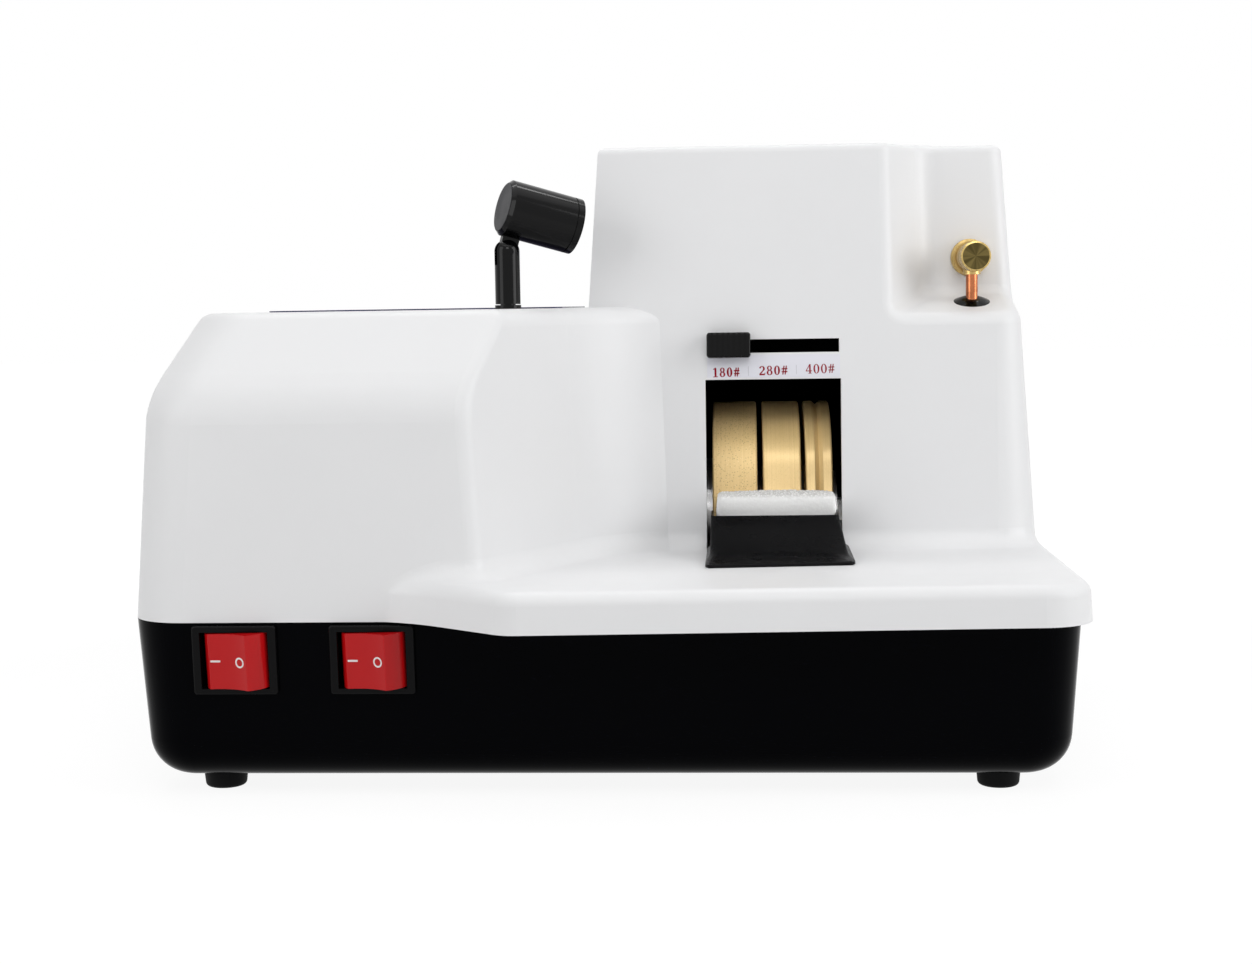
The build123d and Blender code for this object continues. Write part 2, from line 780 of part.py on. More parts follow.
strap_width = 10.0
strap_thickness = 1.6
with BuildPart() as motor_straps:
    for x in saddle_xs:
        with BuildSketch(across(x - strap_width / 2)):
            Circle(motor_radius + seat + strap_thickness)
            with Locations((0, (saddle_top - axis_z) + strap_thickness / 2)):
                Rectangle(2 * saddle_half, strap_thickness)
            Circle(motor_radius + seat, mode=Mode.SUBTRACT)
            with Locations((0, saddle_top - axis_z - motor_radius)):
                Rectangle(4 * motor_radius, 2 * motor_radius, mode=Mode.SUBTRACT)
        extrude(amount=strap_width)
save(motor_straps.part, "motor_straps")

with BuildPart() as motor_screws:
    with BuildSketch(Plane.XY.offset(tray_floor + plate_thickness)):
        with Locations(*plate_screws):
            Circle(screw_head_radius)
    extrude(amount=screw_head_height)
    with BuildSketch(Plane.XY.offset(tray_floor)):
        with Locations(*plate_screws):
            Circle(screw_radius)
    extrude(amount=plate_thickness)
save(motor_screws.part, "motor_screws")

# ---------------------------------------------------------------- spindle and wheels
flange_thickness = 3.0
flange_left = wheel_start - flange_thickness
wheel_xs = [wheel_start]
for width, space in zip(wheel_widths, wheel_gaps):
    wheel_xs.append(wheel_xs[-1] + width + space)
stack_end = wheel_xs[-1] + wheel_widths[-1]
arbor_radius = shaft_radius - 0.5
thread_radius = 5.0
nut_thickness = 8.0
washer_thickness = 3.0
shaft_end = stack_end + washer_thickness + nut_thickness + 2

with BuildPart() as spindle_shaft:
    with BuildSketch(across(motor_left - bearing_width)):
        Circle(shaft_radius)
    extrude(amount=flange_left - motor_left + bearing_width)
    with BuildSketch(across(flange_left)):
        Circle(arbor_radius)
    extrude(amount=stack_end - flange_left)
    with BuildSketch(across(stack_end)):
        Circle(thread_radius)
    extrude(amount=shaft_end - stack_end)
    chamfer(spindle_shaft.edges().filter_by_position(Axis.X, shaft_end - 0.1, shaft_end + 0.1), 1)
save(spindle_shaft.part, "spindle_shaft")

with BuildPart() as wheel_hub:
    with BuildSketch(across(flange_left)):
        Circle(26)
    extrude(amount=flange_thickness)
    with BuildSketch(across(wheel_start)):
        Circle(hub_radius)
    extrude(amount=stack_end - wheel_start)
    with BuildSketch(across(flange_left)):
        Circle(arbor_radius + seat)
    extrude(amount=stack_end - flange_left, mode=Mode.SUBTRACT)
save(wheel_hub.part, "wheel_hub")

for grit, start, width in zip((180, 280, 400), wheel_xs, wheel_widths):
    with BuildPart() as wheel:
        with BuildSketch(Plane(origin=(start, axis_y, axis_z), x_dir=(1, 0, 0), z_dir=(0, -1, 0))):
            with BuildLine():
                edge = 0.5
                middle = width / 2
                rim = [(edge, wheel_radius), (width - edge, wheel_radius)]
                if grit == 400:
                    rim[1:1] = [
                        (middle - groove_width / 2, wheel_radius),
                        (middle, wheel_radius - groove_depth),
                        (middle + groove_width / 2, wheel_radius),
                    ]
                web = width * 0.22
                Polyline(
                    (0, hub_radius + seat), (0, 22), (web, 24), (web, wheel_radius - 12),
                    (0, wheel_radius - 9), (0, wheel_radius - edge), *rim,
                    (width, wheel_radius - edge), (width, wheel_radius - 9),
                    (width - web, wheel_radius - 12), (width - web, 24), (width, 22),
                    (width, hub_radius + seat), close=True,
                )
            make_face()
        revolve(axis=Axis((start, axis_y, axis_z), (1, 0, 0)))
    save(wheel.part, f"wheel_{grit}")

with BuildPart() as wheel_spacers:
    for start, width, space in zip(wheel_xs, wheel_widths, wheel_gaps):
        with BuildSketch(across(start + width)):
            Circle(20)
            Circle(hub_radius + seat, mode=Mode.SUBTRACT)
        extrude(amount=space)
save(wheel_spacers.part, "wheel_spacers")

with BuildPart() as hub_washer:
    with BuildSketch(across(stack_end)):
        Circle(20)
        Circle(thread_radius + seat, mode=Mode.SUBTRACT)
    extrude(amount=washer_thickness)
save(hub_washer.part, "hub_washer")

with BuildPart() as wheel_nut:
    with BuildSketch(across(stack_end + washer_thickness)):
        RegularPolygon(9.5, 6)
        Circle(thread_radius + seat, mode=Mode.SUBTRACT)
    extrude(amount=nut_thickness)
save(wheel_nut.part, "wheel_nut")

# ---------------------------------------------------------------- splash chamber
sheet = 2.5
chamber_left = flange_left - 1.8 - sheet
chamber_right = shaft_end + 3 + sheet
chamber_floor = 25.0
chamber_top = window_top + 3.5
chamber_rear = axis_y + wheel_radius + 7.5
seal_thickness = 5.0


def chamber_front_at(height):
    return tower_front_at(height) + wall + gap


with BuildPart() as wheel_chamber:
    with BuildSketch(Plane.YZ.offset(chamber_left)):
        with BuildLine():
            FilletPolyline(
                (chamber_front_at(chamber_floor), chamber_floor), (chamber_rear, chamber_floor),
                (chamber_rear, chamber_top), (chamber_front_at(chamber_top), chamber_top),
                radius=[4, 26, 26, 0.5], close=True,
            )
        make_face()
    extrude(amount=chamber_right - chamber_left)
    with BuildSketch(Plane.YZ.offset(chamber_left + sheet)):
        with BuildLine():
            FilletPolyline(
                (chamber_front_at(chamber_floor) + sheet, chamber_floor + sheet),
                (chamber_rear - sheet, chamber_floor + sheet),
                (chamber_rear - sheet, chamber_top - sheet),
                (chamber_front_at(chamber_top) + sheet, chamber_top - sheet),
                radius=[4 - sheet / 2, 26 - sheet, 26 - sheet, 0.5], close=True,
            )
        make_face()
    extrude(amount=chamber_right - chamber_left - 2 * sheet, mode=Mode.SUBTRACT)
    # open towards the window, and above where the water falls in
    with BuildSketch(Plane.XZ.offset(-tower_front + 5)):
        with Locations(
            ((chamber_left + chamber_right) / 2, platform_top + (chamber_top - platform_top) / 2)
        ):
            Rectangle(chamber_right - chamber_left - 2 * sheet, chamber_top - platform_top + 1)
    extrude(amount=-(axis_y - tower_front + 5 - 12), mode=Mode.SUBTRACT)
    # shaft hole
    with BuildSketch(across(chamber_left)):
        Circle(shaft_radius + 3)
    extrude(amount=sheet, mode=Mode.SUBTRACT)
    # ears for the water tube
    for ear_x in (chamber_left, chamber_right - sheet):
        with BuildSketch(Plane.YZ.offset(ear_x)):
            with Locations((pipe_y, chamber_top + 4)):
                Rectangle(14, 30)
        extrude(amount=sheet)
    # legs down to the tray
    with BuildSketch(Plane.XY.offset(tray_floor)):
        with Locations(
            ((chamber_left + chamber_right) / 2, (chamber_rear + tower_front) / 2 + 2)
        ):
            with GridLocations(chamber_right - chamber_left - 10, 64, 2, 2):
                Rectangle(10, 10)
    extrude(amount=chamber_floor + 1 - tray_floor)
    drip_z = slot_bottom + slot_height / 2
    with BuildSketch(Plane.YZ.offset(chamber_left - 1)):
        with Locations((pipe_y, drip_z)):
            Circle(4 + seat)
    extrude(amount=chamber_right - chamber_left + 2, mode=Mode.SUBTRACT)
    # drain hole
    with BuildSketch(Plane.XZ.offset(-chamber_rear - 1)):
        with Locations((drain_x, drain_z)):
            Circle(drain_run_radius + seat)
    extrude(amount=30, mode=Mode.SUBTRACT)
save(wheel_chamber.part, "wheel_chamber")

with BuildPart() as shaft_seal:
    with BuildSketch(across(chamber_left - seal_thickness)):
        Circle(16)
        Circle(shaft_radius + gap, mode=Mode.SUBTRACT)
    extrude(amount=seal_thickness)
save(shaft_seal.part, "shaft_seal")

with BuildPart() as drain_spout:
    start_y = chamber_rear - 6
    collar_y = tray_rear_at(drain_z + drain_radius + 3) + 0.05
    with BuildSketch(Plane(origin=(drain_x, 0, drain_z), x_dir=(0, 1, 0), z_dir=(1, 0, 0))):
        with BuildLine():
            Polyline(
                (start_y, drain_radius - 1.5), (start_y, drain_run_radius),
                (collar_y, drain_run_radius), (collar_y, drain_radius + 3),
                (collar_y + 3.5, drain_radius + 3), (collar_y + 3.5, drain_radius),
                (drain_end - 1, drain_radius), (drain_end, drain_radius - 0.6),
                (drain_end, drain_radius - 1.5), close=True,
            )
        make_face()
    revolve(axis=Axis((drain_x, 0, drain_z), (0, 1, 0)))
save(drain_spout.part, "drain_spout")

# ---------------------------------------------------------------- sponge and its holder
holder_top = 96.6
holder_wall = 2.0
holder_back = tower_front_at(platform_top) - 0.4
holder_middle = window_middle + 0.6
holder_foot_front = -98.0
sponge_width = 46.0
sponge_top = 104.4
sponge_front = -57.0
sponge_gap = 0.7
inner_width = sponge_width + 2 * gap
base_front, crest_front = -85.5, -63.5


def holder_block(low, high, grow, low_front, high_front, back):
    """Wedge with a leaning front, wider at its foot."""
    with BuildPart() as block:
        for height, front, width in (
            (low, low_front, inner_width + 5.2 + grow), (high, high_front, inner_width + 1.2 + grow)
        ):
            with BuildSketch(Plane.XY.offset(height)):
                with Locations((holder_middle, (front + back) / 2)):
                    Rectangle(width, back - front)
        loft(ruled=True)
    return block.part


with BuildPart() as sponge_holder:
    add(holder_block(platform_top, holder_top, 0, base_front, crest_front, holder_back))
    fillet(
        sponge_holder.edges().filter_by(
            lambda e: e.center().Y < crest_front + 5 and abs(e.center().X - holder_middle) > 5
            and e.bounding_box().size.Z > 5
        ),
        1.5,
    )
    with BuildSketch(Plane.XY.offset(platform_top)):
        with BuildLine():
            FilletPolyline(
                (holder_middle - 28, holder_foot_front - 1.5), (holder_middle + 28, holder_foot_front + 3),
                (holder_middle + 26, holder_back), (holder_middle - 26, holder_back),
                radius=[4, 4, 0.5, 0.5], close=True,
            )
        make_face()
    extrude(amount=1.6)
    # open at the top and towards the wheels
    with BuildSketch(Plane.XY.offset(platform_top + holder_wall)):
        with Locations((holder_middle, (crest_front + holder_wall + holder_back + 4) / 2)):
            Rectangle(inner_width, holder_back + 4 - crest_front - holder_wall)
    extrude(amount=holder_top - platform_top, mode=Mode.SUBTRACT)
save(sponge_holder.part, "sponge_holder")

with BuildPart() as sponge:
    # the back follows the wheels, just clear of them
    with BuildSketch(Plane.YZ.offset(holder_middle - sponge_width / 2)):
        with Locations(
            ((sponge_front + axis_y) / 2, (platform_top + holder_wall + gap + sponge_top) / 2)
        ):
            Rectangle(axis_y - sponge_front, sponge_top - platform_top - holder_wall - gap)
        with Locations(axis_point):
            Circle(wheel_radius + sponge_gap, mode=Mode.SUBTRACT)
        with Locations((axis_y, axis_z)):
            Rectangle(2 * wheel_radius - 30, 100, mode=Mode.SUBTRACT)
    extrude(amount=sponge_width)
save(sponge.part, "sponge")


# ---------------------------------------------------------------- slider and water tube
def tower_face(height):
    """Plane on the tower's front at one height, facing the operator."""
    lean = radians(draft)
    return Plane(
        origin=(0, tower_front_at(height), height), x_dir=(1, 0, 0),
        z_dir=(0, -cos(lean), sin(lean)),
    )


tube_radius = 4.0
tube_bore = pipe_radius + 0.1
sleeve_radius = 6.2
sleeve_width = 12.0
groove_count = 8

with BuildPart() as scale_label:
    with BuildSketch(tower_face(label_bottom)):
        with Locations((window_middle + 0.2, label_height / 2)):
            Rectangle(window_right - window_left - 1.2, label_height)
    extrude(amount=label_thickness)
save(scale_label.part, "scale_label")

with BuildPart() as slider:
    with BuildSketch(tower_face(drip_z + 0.3).offset(gap)):
        with Locations((knob_centre, 0)):
            RectangleRounded(knob_width, knob_height, 1.2)
    extrude(amount=knob_depth)
    fillet(slider.faces().sort_by(Axis.Y)[0].edges(), 0.8)
    with BuildSketch(tower_face(drip_z + 0.3).offset(gap + knob_depth)):
        with Locations((knob_centre, 0)):
            with GridLocations(knob_width / groove_count, 1, groove_count - 1, 1):
                Rectangle(0.8, knob_height + 2)
    extrude(amount=-0.9, mode=Mode.SUBTRACT)
    with BuildSketch(Plane.XZ.offset(-pipe_y)):
        with Locations((knob_centre, drip_z)):
            Rectangle(sleeve_width - 4, slot_height - 2 * gap)
    extrude(amount=pipe_y - tower_front_at(drip_z) + 2)
    with BuildSketch(Plane.YZ.offset(knob_centre - sleeve_width / 2)):
        with Locations((pipe_y, drip_z)):
            Circle(sleeve_radius)
    extrude(amount=sleeve_width)
    # spout that drops the water on the chosen wheel
    with BuildSketch(Plane.XY.offset(drip_z)):
        with Locations((knob_centre, pipe_y)):
            Circle(2.2)
    extrude(amount=-(sleeve_radius + 5))
    with BuildSketch(Plane.XY.offset(drip_z)):
        with Locations((knob_centre, pipe_y)):
            Circle(1.2)
    extrude(amount=-(sleeve_radius + 5), mode=Mode.SUBTRACT)
    with BuildSketch(Plane.YZ.offset(knob_centre - sleeve_width / 2)):
        with Locations((pipe_y, drip_z)):
            Circle(tube_radius + running)
    extrude(amount=sleeve_width, mode=Mode.SUBTRACT)
save(slider.part, "slider")

with BuildPart() as drip_tube:
    with BuildSketch(Plane.YZ.offset(chamber_left - 0.5)):
        with Locations((pipe_y, drip_z)):
            Circle(tube_radius)
    extrude(amount=chamber_right - chamber_left + 1)
    with BuildSketch(Plane.YZ.offset(chamber_left + 2)):
        with Locations((pipe_y, drip_z)):
            Circle(tube_bore)
    extrude(amount=chamber_right - chamber_left, mode=Mode.SUBTRACT)
    # long slot below, closed by the sleeve but for its spout
    with BuildSketch(Plane.XY.offset(drip_z)):
        with Locations((knob_centre + slider_travel / 2, pipe_y)):
            Rectangle(slider_travel + 2, 1.6)
    extrude(amount=-tube_radius - 1, mode=Mode.SUBTRACT)
save(drip_tube.part, "drip_tube")

# ---------------------------------------------------------------- water valve and pipe
pocket_taper = tan(radians(3))
floor_fall = radians(pocket_slope)
nut_radius = 7.5
nut_depth = 3.8
body_radius = 5.8
pipe_bend = 12.0
tank_wall = 2.5


def pocket_back_at(height):
    return pocket_corner[1] + (height - pocket_start) * pocket_taper


valve_back = pocket_back_at(valve_z - nut_radius) - 0.05
knob_back = pipe_y - 4.3
knob_front = knob_back - 10.5


def valve_plane(y):
    """Plane across the valve's axis at one Y, facing the operator."""
    return Plane(origin=(valve_x, y, valve_z), x_dir=(1, 0, 0), z_dir=(0, -1, 0))


with BuildPart() as valve_body:
    with BuildSketch(valve_plane(tank_front + tank_wall + 3)):
        Circle(valve_bore - 0.15)
    extrude(amount=tank_front + tank_wall + 3 - valve_back)
    with BuildSketch(valve_plane(valve_back)):
        Circle(5.0)
    extrude(amount=valve_back - pipe_y)
    with BuildSketch(valve_plane(pipe_y + 4)):
        Circle(body_radius)
    extrude(amount=8)
    with BuildSketch(Plane.XY.offset(valve_z)):
        with Locations((valve_x, pipe_y)):
            Circle(pipe_radius + 1.1)
    extrude(amount=-(body_radius + 1.2))
    with BuildSketch(Plane.XY.offset(valve_z - body_radius - 1.2)):
        with Locations((valve_x, pipe_y)):
            Circle(pipe_radius + seat)
    extrude(amount=3, mode=Mode.SUBTRACT)
    with BuildSketch(valve_plane(pipe_y - 4)):
        Circle(2.5 + running)
    extrude(amount=-10, mode=Mode.SUBTRACT)
save(valve_body.part, "valve_body")

with BuildPart() as valve_nut:
    with BuildSketch(valve_plane(valve_back)):
        Circle(nut_radius)
        Circle(5.0 + seat, mode=Mode.SUBTRACT)
    extrude(amount=nut_depth)
    chamfer(
        valve_nut.edges().filter_by_position(
            Axis.Y, valve_back - nut_depth - 0.1, valve_back - nut_depth + 0.1
        ).sort_by(SortBy.LENGTH)[-1],
        1.0,
    )
save(valve_nut.part, "valve_nut")

knurl_count = 28
with BuildPart() as valve_knob:
    with BuildSketch(valve_plane(knob_back)):
        Circle(valve_knob_radius)
    extrude(amount=knob_back - knob_front)
    with BuildSketch(valve_plane(knob_back)):
        with PolarLocations(valve_knob_radius, knurl_count):
            Rectangle(0.5, 0.5, rotation=45)
    extrude(amount=knob_back - knob_front - 1.6, mode=Mode.SUBTRACT)
    chamfer(
        valve_knob.edges().filter_by_position(Axis.Y, knob_front - 0.1, knob_front + 0.1), 0.8
    )
    with BuildSketch(valve_plane(knob_back)):
        Circle(2.5)
    extrude(amount=-9)
save(valve_knob.part, "valve_knob")

with BuildPart() as copper_pipe:
    with BuildLine(Plane.XZ.offset(-pipe_y)):
        FilletPolyline(
            (valve_x, valve_z - body_radius + 1.7), (valve_x, drip_z),
            (chamber_right - sheet - 4, drip_z), radius=pipe_bend,
        )
    with BuildSketch(Plane.XY.offset(valve_z - body_radius + 1.7)):
        with Locations((valve_x, pipe_y)):
            Circle(pipe_radius)
            Circle(pipe_radius - 0.8, mode=Mode.SUBTRACT)
    sweep()
save(copper_pipe.part, "copper_pipe")

grommet_radius = 7.8
floor_plane = Plane(
    origin=(valve_x, pipe_y, pocket_floor - tan(floor_fall)), x_dir=(1, 0, 0),
    z_dir=(0, -sin(floor_fall), cos(floor_fall)),
)
with BuildPart() as pipe_grommet:
    with BuildSketch(floor_plane):
        Circle(grommet_radius)
    extrude(amount=2.2)
    fillet(
        pipe_grommet.edges().filter_by(
            lambda e: floor_plane.to_local_coords(e.center()).Z > 2
        ),
        1.8,
    )
    with BuildSketch(floor_plane.offset(-wall * cos(floor_fall))):
        Circle(grommet_radius - 0.6)
    extrude(amount=-1.8)
    with BuildSketch(Plane.XY.offset(pocket_floor - wall - 1.5)):
        with Locations((valve_x, pipe_y)):
            Circle(grommet_neck)
    extrude(amount=wall + 1)
    with BuildSketch(Plane.XY.offset(pocket_floor - 15)):
        with Locations((valve_x, pipe_y)):
            Circle(pipe_radius + seat)
    extrude(amount=30, mode=Mode.SUBTRACT)
save(pipe_grommet.part, "pipe_grommet")

# ---------------------------------------------------------------- water tank and its lid
tank_top = tower_top - wall
tank_size = (tank_right - tank_left, tank_rear - tank_front)
with BuildPart() as water_tank:
    with BuildSketch(Plane.XY.offset(tank_floor)):
        with Locations(tank_middle):
            RectangleRounded(*tank_size, 5)
    extrude(amount=tank_top - tank_floor)
    with BuildSketch(Plane.XY.offset(tank_floor + tank_wall)):
        with Locations(tank_middle):
            RectangleRounded(tank_size[0] - 2 * tank_wall, tank_size[1] - 2 * tank_wall, 3)
    extrude(amount=tank_top - tank_floor, mode=Mode.SUBTRACT)
    with BuildSketch(valve_plane(tank_front + tank_wall + 1)):
        Circle(valve_bore - 0.1)
    extrude(amount=tank_wall + 2, mode=Mode.SUBTRACT)
save(water_tank.part, "water_tank")

lid_overhang = 3.5
lid_skirt = 10.0
with BuildPart() as tank_lid:
    with BuildSketch(Plane.XY.offset(tower_top + 0.2)):
        with Locations(tank_middle):
            RectangleRounded(lid_opening[0] + 2 * lid_overhang, lid_opening[1] + 2 * lid_overhang, 10)
    extrude(amount=2.6)
    fillet(tank_lid.faces().sort_by(Axis.Z)[-1].edges(), 1.2)
    with BuildSketch(Plane.XY.offset(tower_top + 0.2)):
        with Locations(tank_middle):
            RectangleRounded(lid_opening[0] - 2 * gap, lid_opening[1] - 2 * gap, 7.7)
            RectangleRounded(lid_opening[0] - 6, lid_opening[1] - 6, 5.4, mode=Mode.SUBTRACT)
    extrude(amount=-lid_skirt)
save(tank_lid.part, "tank_lid")

# ---------------------------------------------------------------- lamp
bush_bore = 3.0
foot_height = 1.5
slot_width = 3.6
fork_floor = lamp_pivot_z - 5.0
tongue_radius = 3.4
pivot_pin = 1.2
post_bottom = bay_top - 16.0
bush_bottom = post_bottom + 2.2
turn = radians(lamp_heading)
dip = radians(lamp_dip)
beam = Vector(cos(turn) * cos(dip), sin(turn) * cos(dip), -sin(dip))
hinge = Vector(-sin(turn), cos(turn), 0)
lift = beam.cross(hinge)
lamp_pivot = Vector(lamp_x, lamp_y, lamp_pivot_z)
head_rise = lamp_radius + post_radius + 0.6
head_back = -5.4
post_plane = Plane(origin=(lamp_x, lamp_y, 0), x_dir=(cos(turn), sin(turn), 0), z_dir=(0, 0, 1))
hinge_plane = Plane(origin=lamp_pivot, x_dir=(cos(turn), sin(turn), 0), z_dir=-hinge)
head_rear = lamp_pivot + lift * head_rise + beam * head_back


def head_plane(along):
    """Plane across the lamp head at a distance from its rear face, facing along the beam."""
    return Plane(origin=head_rear + beam * along, x_dir=hinge, z_dir=beam)


with BuildPart() as lamp_bush:
    with BuildSketch(Plane.XY.offset(bush_bottom)):
        with Locations((lamp_x, lamp_y)):
            Circle(bush_radius)
    extrude(amount=bay_top - bush_bottom)
    with BuildSketch(Plane.XY.offset(bay_top)):
        with Locations((lamp_x, lamp_y)):
            Circle(post_radius + 0.2)
    extrude(amount=foot_height)
    with BuildSketch(Plane.XY.offset(bush_bottom)):
        with Locations((lamp_x, lamp_y)):
            Circle(bush_bore + running)
    extrude(amount=bay_top + foot_height - bush_bottom, mode=Mode.SUBTRACT)
save(lamp_bush.part, "lamp_bush")

with BuildPart() as lamp_bush_nut:
    with BuildSketch(Plane.XY.offset(bay_top - wall - 4)):
        with Locations((lamp_x, lamp_y)):
            RegularPolygon(8, 6)
            Circle(bush_radius + seat, mode=Mode.SUBTRACT)
    extrude(amount=4)
save(lamp_bush_nut.part, "lamp_bush_nut")

with BuildPart() as lamp_post:
    with BuildSketch(Plane.XY.offset(post_bottom)):
        with Locations((lamp_x, lamp_y)):
            Circle(bush_bore)
    extrude(amount=bay_top + foot_height + gap - post_bottom)
    with BuildSketch(Plane.XY.offset(post_bottom)):
        with Locations((lamp_x, lamp_y)):
            Circle(bush_radius)
    extrude(amount=bush_bottom - gap - post_bottom)
    with BuildSketch(Plane.XY.offset(bay_top + foot_height + gap)):
        with Locations((lamp_x, lamp_y)):
            Circle(post_radius)
    extrude(amount=lamp_pivot_z + post_radius - bay_top - foot_height - gap)
    fillet(lamp_post.faces().sort_by(Axis.Z)[-1].edges(), post_radius - 0.3)
    # fork for the lamp's tongue
    with BuildSketch(post_plane.offset(fork_floor)):
        Rectangle(4 * post_radius, slot_width)
    extrude(amount=4 * post_radius, mode=Mode.SUBTRACT)
    with BuildSketch(hinge_plane):
        Circle(pivot_pin + seat)
    extrude(amount=2 * post_radius, both=True, mode=Mode.SUBTRACT)
save(lamp_post.part, "lamp_post")

with BuildPart() as lamp_pin:
    with BuildSketch(hinge_plane):
        Circle(pivot_pin)
    extrude(amount=post_radius - 0.4, both=True)
save(lamp_pin.part, "lamp_pin")

lens_seat = 1.5
lens_radius = lamp_radius - 1.6
lens_thickness = 1.8
board_depth = 13.0
tongue_thickness = slot_width - 0.4
tongue_plane = Plane(origin=lamp_pivot, x_dir=beam, z_dir=-hinge)
with BuildPart() as lamp_head:
    with BuildSketch(head_plane(0)):
        Circle(lamp_radius)
    extrude(amount=lamp_length)
    chamfer(lamp_head.faces().sort_by(Axis(head_rear, beam))[0].edges(), 1.3)
    # tongue that sits in the post's fork
    with BuildSketch(tongue_plane):
        Circle(tongue_radius)
        with Locations((0, head_rise / 2)):
            Rectangle(2 * tongue_radius, head_rise)
    extrude(amount=tongue_thickness / 2, both=True)
    # bore for lens and lamp board, and the line of the front ring
    with BuildSketch(head_plane(lamp_length)):
        Circle(lens_radius + seat)
    extrude(amount=-(lens_seat + lens_thickness), mode=Mode.SUBTRACT)
    with BuildSketch(head_plane(lamp_length)):
        Circle(lens_radius - 1.0)
    extrude(amount=-board_depth, mode=Mode.SUBTRACT)
    with BuildSketch(head_plane(lamp_length - 2.6)):
        Circle(lamp_radius + 1)
        Circle(lamp_radius - 0.4, mode=Mode.SUBTRACT)
    extrude(amount=-0.5, mode=Mode.SUBTRACT)
    with BuildSketch(tongue_plane):
        Circle(pivot_pin + running)
    extrude(amount=post_radius, both=True, mode=Mode.SUBTRACT)
save(lamp_head.part, "lamp_head")

with BuildPart() as lamp_lens:
    with BuildSketch(head_plane(lamp_length - lens_seat)):
        Circle(lens_radius)
    extrude(amount=-lens_thickness)
save(lamp_lens.part, "lamp_lens")

with BuildPart() as led_board:
    with BuildSketch(head_plane(lamp_length - board_depth)):
        Circle(lens_radius - 1.2)
    extrude(amount=1.6)
    with BuildSketch(head_plane(lamp_length - board_depth + 1.6)):
        Circle(2.6)
    extrude(amount=1.8)
save(led_board.part, "led_board")

with BuildPart() as top_film:
    film_left, film_right = case_left + 37, tower_left + 2
    film_front, film_rear = lamp_y + 12, case_rear - 62
    with BuildSketch(Plane.XY.offset(bay_top)):
        with Locations(((film_left + film_right) / 2 - 2, (film_front + film_rear) / 2)):
            RectangleRounded(film_right - film_left - 4, film_rear - film_front, 4)
    extrude(amount=0.5)
save(top_film.part, "top_film")

# ---------------------------------------------------------------- electrics inside the bay
capacitor_radius = 16.0
capacitor_length = 62.0
capacitor_x = saddle_xs[0] + 4
capacitor_y = axis_y - saddle_half - capacitor_radius - 10
clip_width = 14.0
clip_sheet = 1.5
capacitor_z = tray_floor + capacitor_radius + clip_sheet
with BuildPart() as capacitor:
    with BuildSketch(Plane(origin=(capacitor_x - capacitor_length / 2, capacitor_y, capacitor_z),
                           x_dir=(0, 1, 0), z_dir=(1, 0, 0))):
        Circle(capacitor_radius)
    extrude(amount=capacitor_length)
save(capacitor.part, "capacitor")

with BuildPart() as capacitor_clip:
    with BuildSketch(Plane(origin=(capacitor_x - clip_width / 2, capacitor_y, capacitor_z),
                           x_dir=(0, 1, 0), z_dir=(1, 0, 0))):
        Circle(capacitor_radius + seat + clip_sheet)
        with Locations((0, -capacitor_radius - clip_sheet / 2)):
            Rectangle(2 * capacitor_radius + 14, clip_sheet)
        Circle(capacitor_radius + seat, mode=Mode.SUBTRACT)
        with Locations((0, -capacitor_radius - clip_sheet - 5)):
            Rectangle(4 * capacitor_radius, 10, mode=Mode.SUBTRACT)
    extrude(amount=clip_width)
save(capacitor_clip.part, "capacitor_clip")

with BuildPart() as lamp_driver:
    with BuildSketch(Plane.XY.offset(tray_floor)):
        with Locations((inlet_x + 62, case_rear - 34)):
            Rectangle(52, 24)
    extrude(amount=18)
    fillet(lamp_driver.edges().filter_by(Axis.Z), 2)
save(lamp_driver.part, "lamp_driver")
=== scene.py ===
"""Bench lens edger: finishes, detailed pieces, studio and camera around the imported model."""

import json
import logging
import math
from dataclasses import dataclass, field
from enum import Enum
from typing import Optional, Sequence, Union

import bmesh
import bpy
from mathutils import Matrix, Vector, noise

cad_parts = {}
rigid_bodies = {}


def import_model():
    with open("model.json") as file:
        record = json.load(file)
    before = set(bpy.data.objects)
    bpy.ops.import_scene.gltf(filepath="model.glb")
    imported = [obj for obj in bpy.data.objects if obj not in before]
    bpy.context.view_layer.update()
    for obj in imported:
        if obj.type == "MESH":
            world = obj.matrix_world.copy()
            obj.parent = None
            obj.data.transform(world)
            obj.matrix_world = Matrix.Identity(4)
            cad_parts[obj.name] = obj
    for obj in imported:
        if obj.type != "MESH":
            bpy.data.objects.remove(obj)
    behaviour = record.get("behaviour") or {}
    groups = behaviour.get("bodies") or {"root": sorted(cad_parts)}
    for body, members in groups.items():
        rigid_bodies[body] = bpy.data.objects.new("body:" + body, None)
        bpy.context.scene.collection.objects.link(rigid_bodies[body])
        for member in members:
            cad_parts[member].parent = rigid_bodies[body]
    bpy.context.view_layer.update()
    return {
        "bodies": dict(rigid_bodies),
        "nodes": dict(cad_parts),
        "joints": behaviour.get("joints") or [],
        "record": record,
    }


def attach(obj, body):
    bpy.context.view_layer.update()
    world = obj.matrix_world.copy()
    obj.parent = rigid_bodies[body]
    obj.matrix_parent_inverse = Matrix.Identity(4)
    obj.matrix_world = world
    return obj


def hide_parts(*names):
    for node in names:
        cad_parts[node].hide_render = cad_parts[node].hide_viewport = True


log = logging.getLogger("lens_edger")
MM = 0.001
Colour = tuple[float, float, float]
Point = tuple[float, float, float]
Profile = tuple[tuple[float, float], ...]

